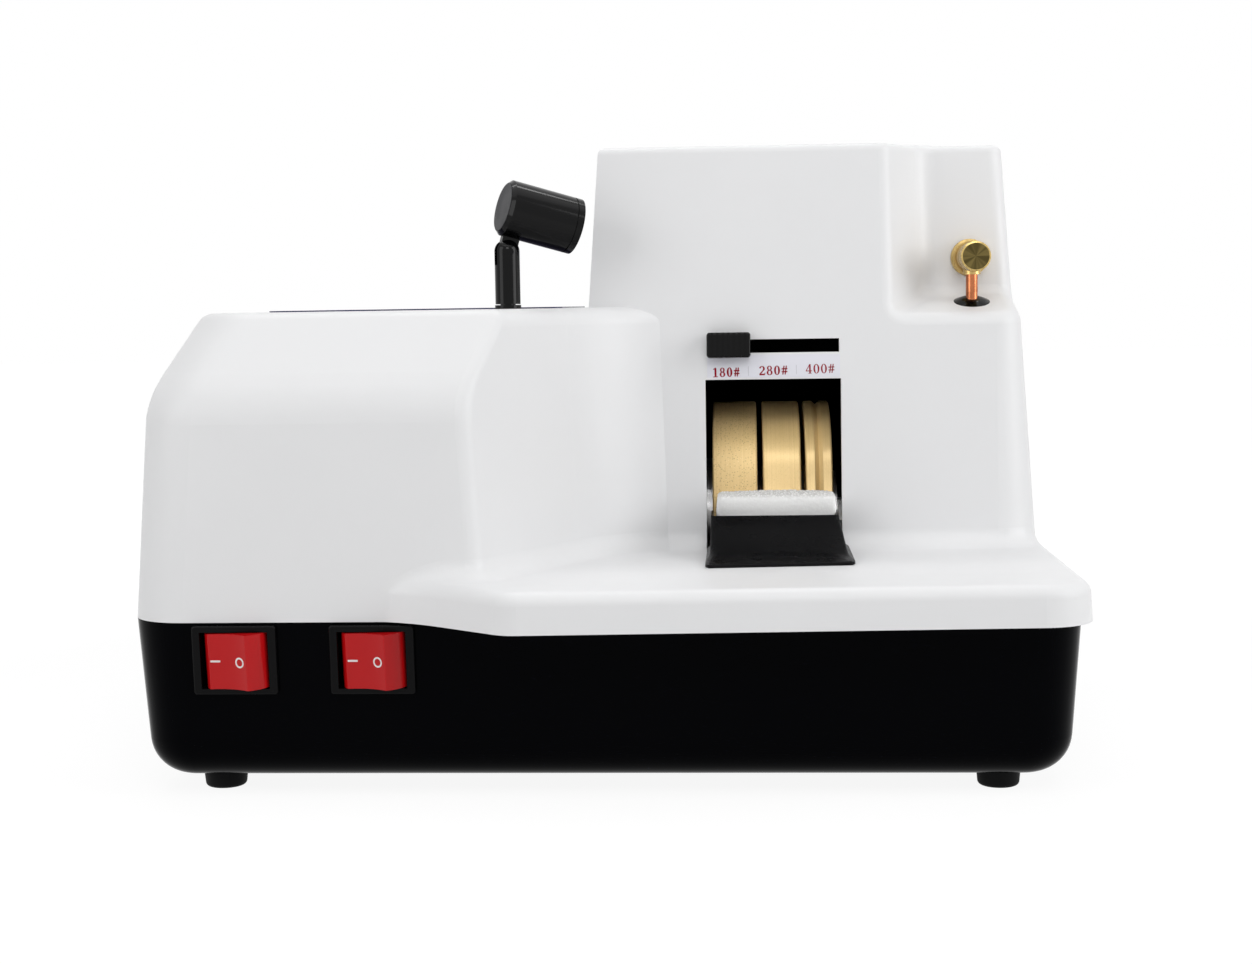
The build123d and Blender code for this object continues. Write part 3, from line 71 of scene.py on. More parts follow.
# Places that several pieces share, in millimetres, and the walls' draft in degrees.
PARTING = 66.4              # height at which the cover meets the tray
DRAFT = 4.0
CASE_FRONT = -130.0         # front of the tray at the parting
TOWER_FRONT = -44.0         # front of the tower at the parting
AXIS_Y = 15.0               # the spindle
AXIS_Z = 87.0
VALVE_X = 144.5
VALVE_Z = 196.0
PIPE_Y = -21.0
KNOB_FRONT = -35.8


# ---------------------------------------------------------------- shader kit
class Signal:
    """A shader socket that can be used in arithmetic."""

    def __init__(self, graph: "Graph", socket: bpy.types.NodeSocket) -> None:
        """Keep the graph and the output socket."""
        self.graph = graph
        self.socket = socket

    def _math(self, operation: str, first: "Operand", second: "Operand") -> "Signal":
        """The result of a Math node with two inputs."""
        return self.graph.node("ShaderNodeMath", {"operation": operation}, {0: first, 1: second})

    def __add__(self, other: "Operand") -> "Signal":
        """Sum."""
        return self._math("ADD", self, other)

    __radd__ = __add__

    def __mul__(self, other: "Operand") -> "Signal":
        """Product."""
        return self._math("MULTIPLY", self, other)

    __rmul__ = __mul__

    def __truediv__(self, other: "Operand") -> "Signal":
        """Quotient."""
        return self._math("DIVIDE", self, other)

    def __rtruediv__(self, other: "Operand") -> "Signal":
        """A number divided by this signal."""
        return self._math("DIVIDE", other, self)

    def __pow__(self, other: "Operand") -> "Signal":
        """Power."""
        return self._math("POWER", self, other)

    def __rpow__(self, other: "Operand") -> "Signal":
        """A number to the power of this signal."""
        return self._math("POWER", other, self)

    def ramped(self, low: float, high: float) -> "Signal":
        """A smooth step, which falls where high is the smaller.

        Args:
            low: Where it is zero.
            high: Where it is one.

        Returns:
            The step.
        """
        settings = {"interpolation_type": "SMOOTHSTEP"}
        feeds = {"Value": self, "From Min": low, "From Max": high}
        return self.graph.node("ShaderNodeMapRange", settings, feeds)


Operand = Union[Signal, float]
Feed = Union[Signal, float, Sequence[float]]


class Graph:
    """A node tree while it is put together."""

    def __init__(self, tree: bpy.types.NodeTree) -> None:
        """Keep the tree and empty it."""
        self.tree = tree
        self.tree.nodes.clear()

    def node(
        self, kind: str, settings: Optional[dict] = None, feeds: Optional[dict] = None,
        out: Union[int, str] = 0,
    ) -> Signal:
        """Add one node.

        Args:
            kind: The node's type.
            settings: Its properties, set first.
            feeds: Values or signals by input name or number.
            out: Which output to return.

        Returns:
            That output as a signal.
        """
        made = self.tree.nodes.new(kind)
        for key, value in (settings or {}).items():
            setattr(made, key, value)
        for key, value in (feeds or {}).items():
            if isinstance(value, Signal):
                self.tree.links.new(value.socket, made.inputs[key])
            else:
                made.inputs[key].default_value = value
        return Signal(self, made.outputs[out])


class Recipe(Graph):
    """A node material while it is put together."""

    def __init__(self, name: str) -> None:
        """Start an empty material with one Principled shader.

        Args:
            name: The material's name.
        """
        self.material = bpy.data.materials.new(name)
        self.material.use_nodes = True
        super().__init__(self.material.node_tree)
        self.output = self.tree.nodes.new("ShaderNodeOutputMaterial")
        self.shader = self.tree.nodes.new("ShaderNodeBsdfPrincipled")
        self.tree.links.new(self.shader.outputs[0], self.output.inputs["Surface"])

    def place(self, centre: Point = (0.0, 0.0, 0.0)) -> Signal:
        """Object coordinates in millimetres.

        Args:
            centre: Their origin, in millimetres.

        Returns:
            The coordinates.
        """
        feeds = {
            "Vector": self.node("ShaderNodeTexCoord", out="Object"),
            "Location": [value * MM for value in centre],
            "Scale": (MM, MM, MM),
        }
        return self.node("ShaderNodeMapping", {"vector_type": "TEXTURE"}, feeds)

    def noise(self, size: float, detail: float, where: Optional[Signal] = None) -> Signal:
        """Smooth noise between zero and one.

        Args:
            size: About how large its features are, in millimetres.
            detail: How many finer layers it has.
            where: Its coordinates, if not the plain ones.

        Returns:
            The noise.
        """
        feeds = {"Vector": where or self.place(), "Scale": 1 / size, "Detail": detail}
        return self.node("ShaderNodeTexNoise", feeds=feeds)

    def cells(self, size: float, where: Optional[Signal] = None) -> Signal:
        """Distance from the nearest of many scattered points.

        Args:
            size: About how far apart they are, in millimetres.
            where: Its coordinates, if not the plain ones.

        Returns:
            The distance, as a share of the size.
        """
        feeds = {"Vector": where or self.place(), "Scale": 1 / size}
        return self.node("ShaderNodeTexVoronoi", feeds=feeds)

    def split(self, where: Signal) -> tuple[Signal, ...]:
        """The three coordinates of a vector."""
        made = self.node("ShaderNodeSeparateXYZ", feeds={0: where})
        return tuple(Signal(self, socket) for socket in made.socket.node.outputs)

    def joined(self, x: Feed, y: Feed, z: Feed) -> Signal:
        """A vector from three values."""
        return self.node("ShaderNodeCombineXYZ", feeds={0: x, 1: y, 2: z})

    def blend(self, first: Feed, second: Feed, share: Feed) -> Signal:
        """A colour between two.

        Args:
            first: The colour where the share is zero.
            second: The colour where the share is one.
            share: The second one's share.

        Returns:
            The blended colour.
        """
        first = first if isinstance(first, Signal) else (*first, 1.0)
        second = second if isinstance(second, Signal) else (*second, 1.0)
        settings = {"data_type": "RGBA", "clamp_factor": True}
        return self.node("ShaderNodeMix", settings, {0: share, 6: first, 7: second}, 2)

    def bump(self, height: Signal, depth: float) -> Signal:
        """The normal of a surface raised by a height, where one means a depth in millimetres."""
        return self.node("ShaderNodeBump", feeds={"Height": height, "Distance": depth * MM})

    def finish(self, **values: Feed) -> bpy.types.Material:
        """Set the shader's sockets and return the material.

        Args:
            values: Socket names, with underscores for spaces, and what they get.

        Returns:
            The finished material.
        """
        for key, value in values.items():
            name = "Specular IOR Level" if key == "ior_level" else key.replace("_", " ").title()
            if isinstance(value, Signal):
                self.tree.links.new(value.socket, self.shader.inputs[name])
            else:
                self.shader.inputs[name].default_value = value
        return self.material


# ---------------------------------------------------------------- finishes
class Axis(Enum):
    """The axis a piece is turned round, and the two that cross it."""

    X = (0, 1, 2)
    Y = (1, 0, 2)
    Z = (2, 0, 1)


@dataclass(frozen=True)
class Moulded:
    """Moulded plastic or rubber with a fine tool texture and a little handling wear."""

    name: str
    colour: Colour
    roughness: float
    grain: float                # size of the tool texture, in millimetres
    depth: float                # its depth
    drift: float                # how far the colour strays to either side, as a share
    rubbed: float               # how far handling changes the roughness
    ior_level: float = 0.5
    dust: float = 0.0           # strength of the specks of dust
    cloud_size: float = 38.0
    hand_size: float = 9.0
    speck_size: float = 1.7
    patch_size: float = 14.0
    dust_lift: float = 0.16

    def build(self) -> bpy.types.Material:
        """Make the material.

        Returns:
            The finished material.
        """
        recipe = Recipe(self.name)
        pale = tuple(min(1.0, value * (1 + self.drift) + 0.0006) for value in self.colour)
        deep = tuple(value * (1 - self.drift) for value in self.colour)
        colour = recipe.blend(deep, pale, recipe.noise(self.cloud_size, 3.0))
        if self.dust:
            specks = recipe.cells(self.speck_size).ramped(0.10, 0.03)
            patches = recipe.noise(self.patch_size, 1.0).ramped(0.52, 0.64)
            dusty = tuple(min(1.0, value + self.dust_lift) for value in self.colour)
            colour = recipe.blend(colour, dusty, specks * patches * self.dust)
        grain = recipe.cells(self.grain) * 0.6 + recipe.noise(self.grain * 0.7, 1.0) * 0.4
        handled = recipe.noise(self.hand_size, 4.0).ramped(0.3, 0.75)
        return recipe.finish(
            base_color=colour, ior_level=self.ior_level,
            roughness=handled * self.rubbed + (self.roughness - self.rubbed / 2),
            normal=recipe.bump(grain, self.depth),
        )


@dataclass(frozen=True)
class Metal:
    """Bare or plated metal, with turned or drawn lines round one axis."""

    name: str
    colour: Colour
    shade: Colour
    roughness: float
    centre: Point
    axis: Axis
    line: float                 # spacing of the lines, in millimetres
    depth: float                # their depth
    stain: float                # strength of the darker shade
    patch_size: float = 6.0
    speck_size: float = 0.5
    line_sheen: float = 0.14
    stain_sheen: float = 0.2

    def build(self) -> bpy.types.Material:
        """Make the material.

        Returns:
            The finished material.
        """
        recipe = Recipe(self.name)
        coords = recipe.split(recipe.place(self.centre))
        along, first, second = (coords[index] for index in self.axis.value)
        radius = (first * first + second * second) ** 0.5
        lathed = recipe.joined(along / self.line, radius / self.line, 0.0)
        lines = recipe.noise(1.0, 2.0, lathed)
        patches = recipe.noise(self.patch_size, 4.0)
        specks = recipe.noise(self.speck_size, 2.0)
        # random dark patches: tarnish, and on the copper also painted dark reflection
        tarnish_and_painted_shade = (patches * 0.7 + specks * 0.3).ramped(0.42, 0.72) * self.stain
        smooth = self.roughness - self.line_sheen / 2
        return recipe.finish(
            base_color=recipe.blend(self.colour, self.shade, tarnish_and_painted_shade), metallic=1.0,
            roughness=lines * self.line_sheen + tarnish_and_painted_shade * self.stain_sheen + smooth,
            normal=recipe.bump(lines, self.depth),
        )


@dataclass(frozen=True)
class TurnedFace:
    """Bright metal whose flat front has a painted dark reflection with painted radial highlights,
    and shows the rings of the turning tool.
    """

    name: str
    colour: Colour
    # the painted dark reflection on the turned front
    painted_face_reflection: Colour
    roughness: float
    centre: Point               # the middle of the front
    face_depth: float           # how far behind it the painted dark reflection ends
    face_radius: float = 5.15
    face_edge: float = 0.3
    rings_per_mm: float = 6.0
    ring_depth: float = 0.02

    def build(self) -> bpy.types.Material:
        """Make the material.

        Returns:
            The finished material.
        """
        recipe = Recipe(self.name)
        x, y, z = recipe.split(recipe.place(self.centre))
        radius = (x * x + z * z) ** 0.5
        inside = radius.ramped(self.face_radius + self.face_edge, self.face_radius)
        front = y.ramped(self.face_depth, 0.2) * inside
        rings = recipe.noise(1.0, 2.0, recipe.joined(radius * self.rings_per_mm, 0.0, 0.0))
        angle = recipe.node("ShaderNodeMath", {"operation": "ARCTAN2"}, {0: z, 1: x})
        # radial sectors that carry the painted highlights
        painted_highlight_spokes = recipe.node(
            "ShaderNodeTexNoise", {"noise_dimensions": "1D"},
            {"W": angle * 1.6, "Scale": 1.0, "Detail": 1.0},
        )
        stain = recipe.noise(1.6, 4.0).ramped(0.5, 0.75)
        side = recipe.blend(self.colour, tuple(value * 0.55 for value in self.colour), stain)
        # a lit copy of the front's colour: the painted highlight in the spokes
        painted_highlight_colour = tuple(value * 2.1 for value in self.painted_face_reflection)
        face = recipe.blend(self.painted_face_reflection, painted_highlight_colour, painted_highlight_spokes.ramped(0.38, 0.66))
        return recipe.finish(
            base_color=recipe.blend(side, face, front), metallic=1.0,
            roughness=rings * 0.1 + front * 0.12 + (self.roughness - 0.05),
            normal=recipe.bump(rings * front, self.ring_depth),
        )


@dataclass(frozen=True)
class GritWheel:
    """Sintered brass with diamond grit, turned true round the spindle; the grit carries painted
    glints and its pits painted shade.
    """

    name: str
    start: float                # X of the wheel's left side, in millimetres
    grain: float                # size of the grit
    speckle: float              # how far the grit, its painted glints and its painted pit shade show
    lines: float                # how far the turned lines show
    roughness: float
    sinter: Colour = (0.56, 0.38, 0.15)
    bright: Colour = (0.80, 0.60, 0.30)
    # colour of the painted shade in the pits
    painted_pit_shade: Colour = (0.24, 0.15, 0.055)
    # colour of the painted glints on the grit
    painted_glint_colour: Colour = (0.95, 0.82, 0.52)
    metallic: float = 0.22
    ior_level: float = 0.35
    depth: float = 0.03

    def build(self) -> bpy.types.Material:
        """Make the material.

        Returns:
            The finished material.
        """
        recipe = Recipe(self.name)
        where = recipe.place((self.start, AXIS_Y, AXIS_Z))
        x, y, z = recipe.split(where)
        radius = (y * y + z * z) ** 0.5
        turned = recipe.noise(1.0, 4.0, recipe.joined(x * 1.6, radius * 0.9, 0.0))
        grit = recipe.cells(self.grain, where)
        fine = recipe.noise(self.grain * 0.8, 3.0, where)
        # painted shade in scattered pits of the grit
        painted_pit_mask = recipe.cells(self.grain * 2.3, where).ramped(0.34, 0.12)
        # painted glints where the fine noise peaks on the grit
        painted_glint = fine.ramped(0.60, 0.72) * grit.ramped(0.55, 0.35)
        base = recipe.blend(self.sinter, self.bright, turned)
        dark = recipe.blend(base, self.painted_pit_shade, painted_pit_mask * self.speckle * 0.7)
        worn = recipe.noise(11.0, 2.0, where).ramped(0.35, 0.7)
        height = grit * self.speckle + turned * self.lines
        return recipe.finish(
            base_color=recipe.blend(dark, self.painted_glint_colour, painted_glint * self.speckle),
            metallic=self.metallic, ior_level=self.ior_level,
            roughness=fine * 0.16 + worn * 0.08 + (self.roughness - 0.12),
            normal=recipe.bump(height, self.depth + 0.05 * self.speckle),
        )


@dataclass(frozen=True)
class Felt:
    """White felt whose upper rim is frayed and a little grey."""

    name: str
    colour: Colour
    rim_grey: Colour
    rim: float                  # height of the rim, in millimetres
    band: float = 1.6           # how far down from it the felt is greyer
    strand_size: float = 0.55
    tuft_size: float = 0.9
    depth: float = 0.12

    def build(self) -> bpy.types.Material:
        """Make the material.

        Returns:
            The finished material.
        """
        recipe = Recipe(self.name)
        _, _, height = recipe.split(recipe.place())
        strands = recipe.noise(self.strand_size, 3.0)
        tufts = recipe.cells(self.tuft_size)
        # greyer towards the upper rim, in tufts and strands
        upper = height.ramped(self.rim - self.band, self.rim)
        grey = (strands * 0.6 + tufts * 0.7).ramped(0.42, 0.72) * (upper * 0.85 + 0.1)
        return recipe.finish(
            base_color=recipe.blend(self.colour, self.rim_grey, grey), ior_level=0.05,
            roughness=strands * 0.1 + 0.85,
            normal=recipe.bump(strands * 0.5 + tufts * 0.5, self.depth),
        )


@dataclass(frozen=True)
class Clear:
    """Clear plastic."""

    name: str
    colour: Colour
    roughness: float
    see_through: float
    fine_size: float = 0.8
    cloud_size: float = 7.0
    depth: float = 0.004

    def build(self) -> bpy.types.Material:
        """Make the material.

        Returns:
            The finished material.
        """
        recipe = Recipe(self.name)
        fine = recipe.noise(self.fine_size, 2.0)
        deep = tuple(value * 0.82 for value in self.colour)
        return recipe.finish(
            base_color=recipe.blend(deep, self.colour, recipe.noise(self.cloud_size, 2.0)),
            roughness=fine * 0.05 + self.roughness, transmission_weight=self.see_through,
            normal=recipe.bump(fine, self.depth),
        )


class Palette:
    """All the finishes of the machine, by the node names that wear them."""

    def __init__(self) -> None:
        """Build every material once."""
        self.cover = Moulded(
            "cover_white", (0.83, 0.832, 0.84), roughness=0.42, grain=0.5, depth=0.010,
            drift=0.012, rubbed=0.08, ior_level=0.4,
        ).build()
        self.tray = Moulded(
            "tray_black", (0.0002, 0.0003, 0.0009), roughness=0.15, grain=0.7, depth=0.003,
            drift=0.08, rubbed=0.05, ior_level=0.022, dust=0.005,
        ).build()
        self.satin_black = Moulded(
            "satin_black", (0.0022, 0.0022, 0.0026), roughness=0.30, grain=0.35, depth=0.010,
            drift=0.1, rubbed=0.1, ior_level=0.045, dust=0.01,
        ).build()
        self.bezel = Moulded(
            "bezel_black", (0.0022, 0.0022, 0.0026), roughness=0.24, grain=0.5, depth=0.008,
            drift=0.1, rubbed=0.08, ior_level=0.08, dust=0.02,
        ).build()
        self.chamber = Moulded(
            "chamber_black", (0.0012, 0.0012, 0.0012), roughness=0.85, grain=0.6, depth=0.02,
            drift=0.1, rubbed=0.1, ior_level=0.0, dust=0.01,
        ).build()
        self.rubber = Moulded(
            "rubber_black", (0.003, 0.003, 0.0034), roughness=0.62, grain=0.5, depth=0.03,
            drift=0.12, rubbed=0.1, ior_level=0.1, dust=0.03,
        ).build()
        self.gloss_black = Moulded(
            "gloss_black", (0.0012, 0.0012, 0.0014), roughness=0.13, grain=0.9, depth=0.002,
            drift=0.05, rubbed=0.04, ior_level=0.16, dust=0.01,
        ).build()
        self.cap_grey = Moulded(
            "cap_grey", (0.026, 0.026, 0.029), roughness=0.5, grain=0.2, depth=0.012,
            drift=0.1, rubbed=0.1, ior_level=0.2, dust=0.02,
        ).build()
        self.film = Moulded(
            "film_violet", (0.020, 0.016, 0.075), roughness=0.22, grain=1.5, depth=0.004,
            drift=0.1, rubbed=0.1,
        ).build()
        self.label = Moulded(
            "label_paper", (0.80, 0.80, 0.86), roughness=0.36, grain=0.3, depth=0.004,
            drift=0.015, rubbed=0.05,
        ).build()
        self.ink_red = Moulded(
            "ink_red", (0.30, 0.003, 0.018), roughness=0.5, grain=0.2, depth=0.003,
            drift=0.1, rubbed=0.05, ior_level=0.1,
        ).build()
        self.print_grey = Moulded(
            "print_grey", (0.52, 0.52, 0.56), roughness=0.5, grain=0.2, depth=0.003,
            drift=0.05, rubbed=0.05,
        ).build()
        self.paint_white = Moulded(
            "mark_white", (0.86, 0.80, 0.80), roughness=0.35, grain=0.2, depth=0.004,
            drift=0.02, rubbed=0.05,
        ).build()
        self.rocker = Moulded(
            "rocker_red", (0.52, 0.004, 0.006), roughness=0.13, grain=0.9, depth=0.003,
            drift=0.06, rubbed=0.05, ior_level=0.22, dust=0.01,
        ).build()
        self.enamel = Moulded(
            "motor_enamel", (0.10, 0.13, 0.17), roughness=0.35, grain=0.5, depth=0.01,
            drift=0.05, rubbed=0.08,
        ).build()
        self.tank = Moulded(
            "tank_plastic", (0.60, 0.66, 0.70), roughness=0.3, grain=0.6, depth=0.01,
            drift=0.03, rubbed=0.06,
        ).build()
        self.board = Moulded(
            "board_green", (0.02, 0.15, 0.06), roughness=0.35, grain=0.4, depth=0.01,
            drift=0.1, rubbed=0.05,
        ).build()
        self.can = Moulded(
            "capacitor_grey", (0.42, 0.43, 0.44), roughness=0.4, grain=0.5, depth=0.01,
            drift=0.03, rubbed=0.05,
        ).build()
        self.valve_brass = Metal(
            "valve_brass", (0.60, 0.43, 0.17), shade=(0.26, 0.17, 0.06), roughness=0.27,
            centre=(VALVE_X, 0.0, VALVE_Z), axis=Axis.Y, line=0.3, depth=0.012, stain=0.5,
        ).build()
        # The knob's front is a painted dark reflection with painted highlight spokes.
        self.knob_brass = TurnedFace(
            "knob_brass", (0.62, 0.45, 0.17), painted_face_reflection=(0.070, 0.053, 0.019), roughness=0.24,
            centre=(VALVE_X, KNOB_FRONT, VALVE_Z), face_depth=1.1,
        ).build()
        # The copper's deep colour and heavy dark patches are partly tarnish and partly painted
        # dark reflection.
        self.copper = Metal(
            "copper_tube", (0.50, 0.17, 0.075), shade=(0.16, 0.05, 0.022), roughness=0.18,
            centre=(VALVE_X, PIPE_Y, 0.0), axis=Axis.Z, line=1.4, depth=0.004, stain=0.7,
        ).build()
        self.steel = Metal(
            "bright_steel", (0.62, 0.62, 0.63), shade=(0.34, 0.33, 0.32), roughness=0.28,
            centre=(0.0, AXIS_Y, AXIS_Z), axis=Axis.X, line=0.3, depth=0.008, stain=0.4,
        ).build()
        self.zinc = Metal(
            "zinc_plate", (0.66, 0.67, 0.70), shade=(0.40, 0.38, 0.34), roughness=0.34,
            centre=(0.0, 0.0, 0.0), axis=Axis.Z, line=0.4, depth=0.006, stain=0.5,
        ).build()
        self.iron = Metal(
            "laminated_iron", (0.30, 0.31, 0.33), shade=(0.14, 0.12, 0.11), roughness=0.45,
            centre=(0.0, AXIS_Y, AXIS_Z), axis=Axis.X, line=0.5, depth=0.05, stain=0.5,
        ).build()
        self.casting = Metal(
            "cast_alloy", (0.52, 0.53, 0.55), shade=(0.32, 0.32, 0.33), roughness=0.5,
            centre=(0.0, AXIS_Y, AXIS_Z), axis=Axis.X, line=1.2, depth=0.02, stain=0.4,
        ).build()
        self.sponge = Felt(
            "sponge_felt", (0.95, 0.95, 0.94), rim_grey=(0.66, 0.65, 0.63), rim=103.9,
        ).build()
        self.lens = Clear(
            "lamp_lens", (0.92, 0.93, 0.95), roughness=0.08, see_through=0.85,
        ).build()
        self.wheel_180 = GritWheel(
            "wheel_180_grit", start=39.3, grain=0.42, speckle=0.85, lines=0.25, roughness=0.44,
        ).build()
        self.wheel_280 = GritWheel(
            "wheel_280_grit", start=59.8, grain=0.28, speckle=0.35, lines=0.7, roughness=0.36,
        ).build()
        self.wheel_400 = GritWheel(
            "wheel_400_grit", start=77.1, grain=0.20, speckle=0.22, lines=0.8, roughness=0.33,
        ).build()

    def by_node(self) -> dict[str, bpy.types.Material]:
        """The material of each carried-over node.

        Returns:
            Materials by node name.
        """
        return {
            "cover": self.cover, "tank_lid": self.cover, "base_tray": self.tray,
            "rubber_feet": self.rubber, "foot_screws": self.zinc, "cover_screws": self.zinc,
            "switch_left": self.bezel, "switch_right": self.bezel,
            "rocker_left": self.rocker, "rocker_right": self.rocker,
            "power_inlet": self.bezel, "inlet_pins": self.steel, "inlet_screws": self.zinc,
            "motor_housing": self.enamel, "motor_end_bells": self.casting,
            "bearings": self.steel, "stator": self.iron, "rotor": self.iron,
            "motor_cradle": self.casting, "motor_straps": self.zinc, "motor_screws": self.zinc,
            "spindle_shaft": self.steel, "wheel_hub": self.steel, "wheel_180": self.wheel_180,
            "wheel_280": self.wheel_280, "wheel_400": self.wheel_400,
            "wheel_spacers": self.steel, "hub_washer": self.steel, "wheel_nut": self.steel,
            "wheel_chamber": self.chamber, "shaft_seal": self.rubber,
            "drain_spout": self.satin_black, "sponge_holder": self.satin_black,
            "sponge": self.sponge, "scale_label": self.label, "slider": self.gloss_black,
            "drip_tube": self.chamber, "valve_body": self.valve_brass,
            "valve_nut": self.valve_brass, "valve_knob": self.valve_brass,
            "copper_pipe": self.copper, "pipe_grommet": self.gloss_black,
            "water_tank": self.tank, "lamp_bush": self.gloss_black, "lamp_bush_nut": self.zinc,
            "lamp_post": self.gloss_black, "lamp_pin": self.gloss_black,
            "lamp_head": self.gloss_black, "lamp_lens": self.lens, "led_board": self.board,
            "top_film": self.film, "capacitor": self.can, "capacitor_clip": self.zinc,
            "lamp_driver": self.bezel,
        }


# ---------------------------------------------------------------- modelling kit
def frame_of(origin: Sequence[float], x_dir: Vector, y_dir: Vector, z_dir: Vector) -> Matrix:
    """A placing matrix from an origin in millimetres and three directions."""
    turn = Matrix((x_dir.normalized(), y_dir.normalized(), z_dir.normalized())).transposed()
    return Matrix.Translation(Vector(origin)) @ turn.to_4x4()


def moved(shape: bmesh.types.BMesh, place: Matrix) -> bmesh.types.BMesh:
    """The shape after a placing matrix has moved it."""
    bmesh.ops.transform(shape, matrix=place, verts=shape.verts[:])
    return shape


def lathe(profile: Profile, steps: int = 96) -> bmesh.types.BMesh:
    """Spin a profile of (radius, height) points round Z into a closed shape.

    Args:
        profile: The outline, from one end of the axis to the other.
        steps: Divisions of the full turn.

    Returns:
        The shape, in millimetres.
    """
    shape = bmesh.new()
    points = [shape.verts.new((radius, 0.0, height)) for radius, height in profile]
    edges = [shape.edges.new(pair) for pair in zip(points, points[1:])]
    bmesh.ops.spin(
        shape, geom=points + edges, cent=(0, 0, 0), axis=(0, 0, 1), dvec=(0, 0, 0),
        angle=math.tau, steps=steps, use_merge=True, use_duplicate=False,
    )
    bmesh.ops.remove_doubles(shape, verts=shape.verts[:], dist=0.0005)
    bmesh.ops.recalc_face_normals(shape, faces=shape.faces[:])
    return shape


def block(size: Sequence[float], centre: Sequence[float], edge: float = 0.0,
          segments: int = 3) -> bmesh.types.BMesh:
    """A box with rounded edges.

    Args:
        size: Width, depth and height in millimetres.
        centre: Its middle.
        edge: Radius of its edges.
        segments: Divisions of the rounding.

    Returns:
        The shape.
    """
    shape = bmesh.new()
    bmesh.ops.create_cube(shape, size=1.0)
    bmesh.ops.scale(shape, vec=size, verts=shape.verts[:])
    if edge:
        bmesh.ops.bevel(
            shape, geom=shape.edges[:], offset=edge, segments=segments, profile=0.5,
            affect="EDGES", material=-1,
        )
    bmesh.ops.translate(shape, vec=centre, verts=shape.verts[:])
    return shape


def grow_rim(shape: bmesh.types.BMesh, rim: Sequence[bmesh.types.BMEdge]) -> tuple[list, list]:
    """Extrude a row of edges in place.

    Args:
        shape: The shape they belong to.
        rim: The edges.

    Returns:
        The new points and the new row of edges.
    """
    grown = bmesh.ops.extrude_edge_only(shape, edges=rim)["geom"]
    fresh = [item for item in grown if isinstance(item, bmesh.types.BMVert)]
    edges = [item for item in grown if isinstance(item, bmesh.types.BMEdge)
             and all(vert in fresh for vert in item.verts)]
    return fresh, edges


def add_to(base: bmesh.types.BMesh, other: bmesh.types.BMesh) -> None:
    """Move one shape into another.

    Args:
        base: The shape that grows.
        other: The shape that is added and freed.
    """
    spare = bpy.data.meshes.new("spare")
    other.to_mesh(spare)
    other.free()
    base.from_mesh(spare)
    bpy.data.meshes.remove(spare)


def finish_piece(
    name: str, shape: bmesh.types.BMesh, material: bpy.types.Material, body: str,
    place: Optional[Matrix] = None, stands_for: Sequence[str] = (), crease: float = 35.0,
) -> bpy.types.Object:
    """Turn a shape in millimetres into a finished piece that rides on a body.

    Args:
        name: The piece's name.
        shape: Its shape, freed here.
        material: Its finish.
        body: The CAD body it rides on.
        place: Where it goes.
        stands_for: CAD nodes that it replaces.
        crease: Edges sharper than this many degrees stay crisp.

    Returns:
        The piece.
    """
    if place is not None:
        moved(shape, place)
    bmesh.ops.scale(shape, vec=(MM, MM, MM), verts=shape.verts[:])
    shape.normal_update()
    mesh = bpy.data.meshes.new(name)
    shape.to_mesh(mesh)
    shape.free()
    mesh.materials.append(material)
    mesh.shade_smooth()
    mesh.set_sharp_from_angle(angle=math.radians(crease))
    piece = bpy.data.objects.new(name, mesh)
    bpy.context.scene.collection.objects.link(piece)
    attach(piece, body)
    if stands_for:
        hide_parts(*stands_for)
    log.info("made %s on %s", name, body)
    return piece


# ---------------------------------------------------------------- switches
class Side(Enum):
    """The two rocker switches, by their X in millimetres."""

    LEFT = -132.75
    RIGHT = -82.5


@dataclass
class RockerMarks:
    """The stroke and the ring moulded into each rocker's hollow face."""

    palette: Palette
    height: float = 52.8            # of the switches' middles
    pivot_depth: float = 2.0        # behind the tray's front
    tilt: float = 15.0              # degrees from level
    hollow_radius: float = 20.79
    valley: float = 5.6             # from the pivot to the lowest line of the face
    stroke_at: float = -5.35        # along the face from that line, to the right
    ring_at: float = 4.4
    stroke_size: Point = (3.7, 0.75, 0.3)
    stroke_edge: float = 0.1
    ring: Profile = (
        (1.35, -0.15), (1.9, -0.15), (1.95, 0.12), (1.85, 0.17), (1.42, 0.17), (1.32, 0.12),
        (1.35, -0.15),
    )

    def spot(self, side: Side, along: float) -> Matrix:
        """The place of a mark on the rocker's face.

        Args:
            side: Which switch.
            along: Distance from the valley, in millimetres, to the right.

        Returns:
            A placing matrix whose Z points out of the face.
        """
        lean = math.radians(DRAFT)
        out = Vector((0, -math.cos(lean), -math.sin(lean)))
        up = Vector((0, -math.sin(lean), math.cos(lean)))
        across = Vector((1, 0, 0))
        front = CASE_FRONT + (PARTING - self.height) * math.tan(lean)
        pivot = Vector((side.value, front, self.height)) - out * self.pivot_depth
        bend = math.asin(along / self.hollow_radius)
        rise = self.valley + self.hollow_radius * (1 - math.cos(bend))
        turn = math.radians(self.tilt)
        u = along * math.cos(turn) - rise * math.sin(turn)
        v = along * math.sin(turn) + rise * math.cos(turn)
        slope = turn + bend
        face_right = across * math.cos(slope) + out * math.sin(slope)
        face_out = out * math.cos(slope) - across * math.sin(slope)
        return frame_of(pivot + across * u + out * v, face_right, up, face_out)

    def build(self) -> None:
        """Make both rockers' marks."""
        for side, body in ((Side.LEFT, "left_rocker"), (Side.RIGHT, "right_rocker")):
            stroke = block(self.stroke_size, (0, 0, 0), self.stroke_edge, 2)
            marks = moved(stroke, self.spot(side, self.stroke_at))
            add_to(marks, moved(lathe(self.ring, 64), self.spot(side, self.ring_at)))
            finish_piece(f"{body}_marks", marks, self.palette.paint_white, body)


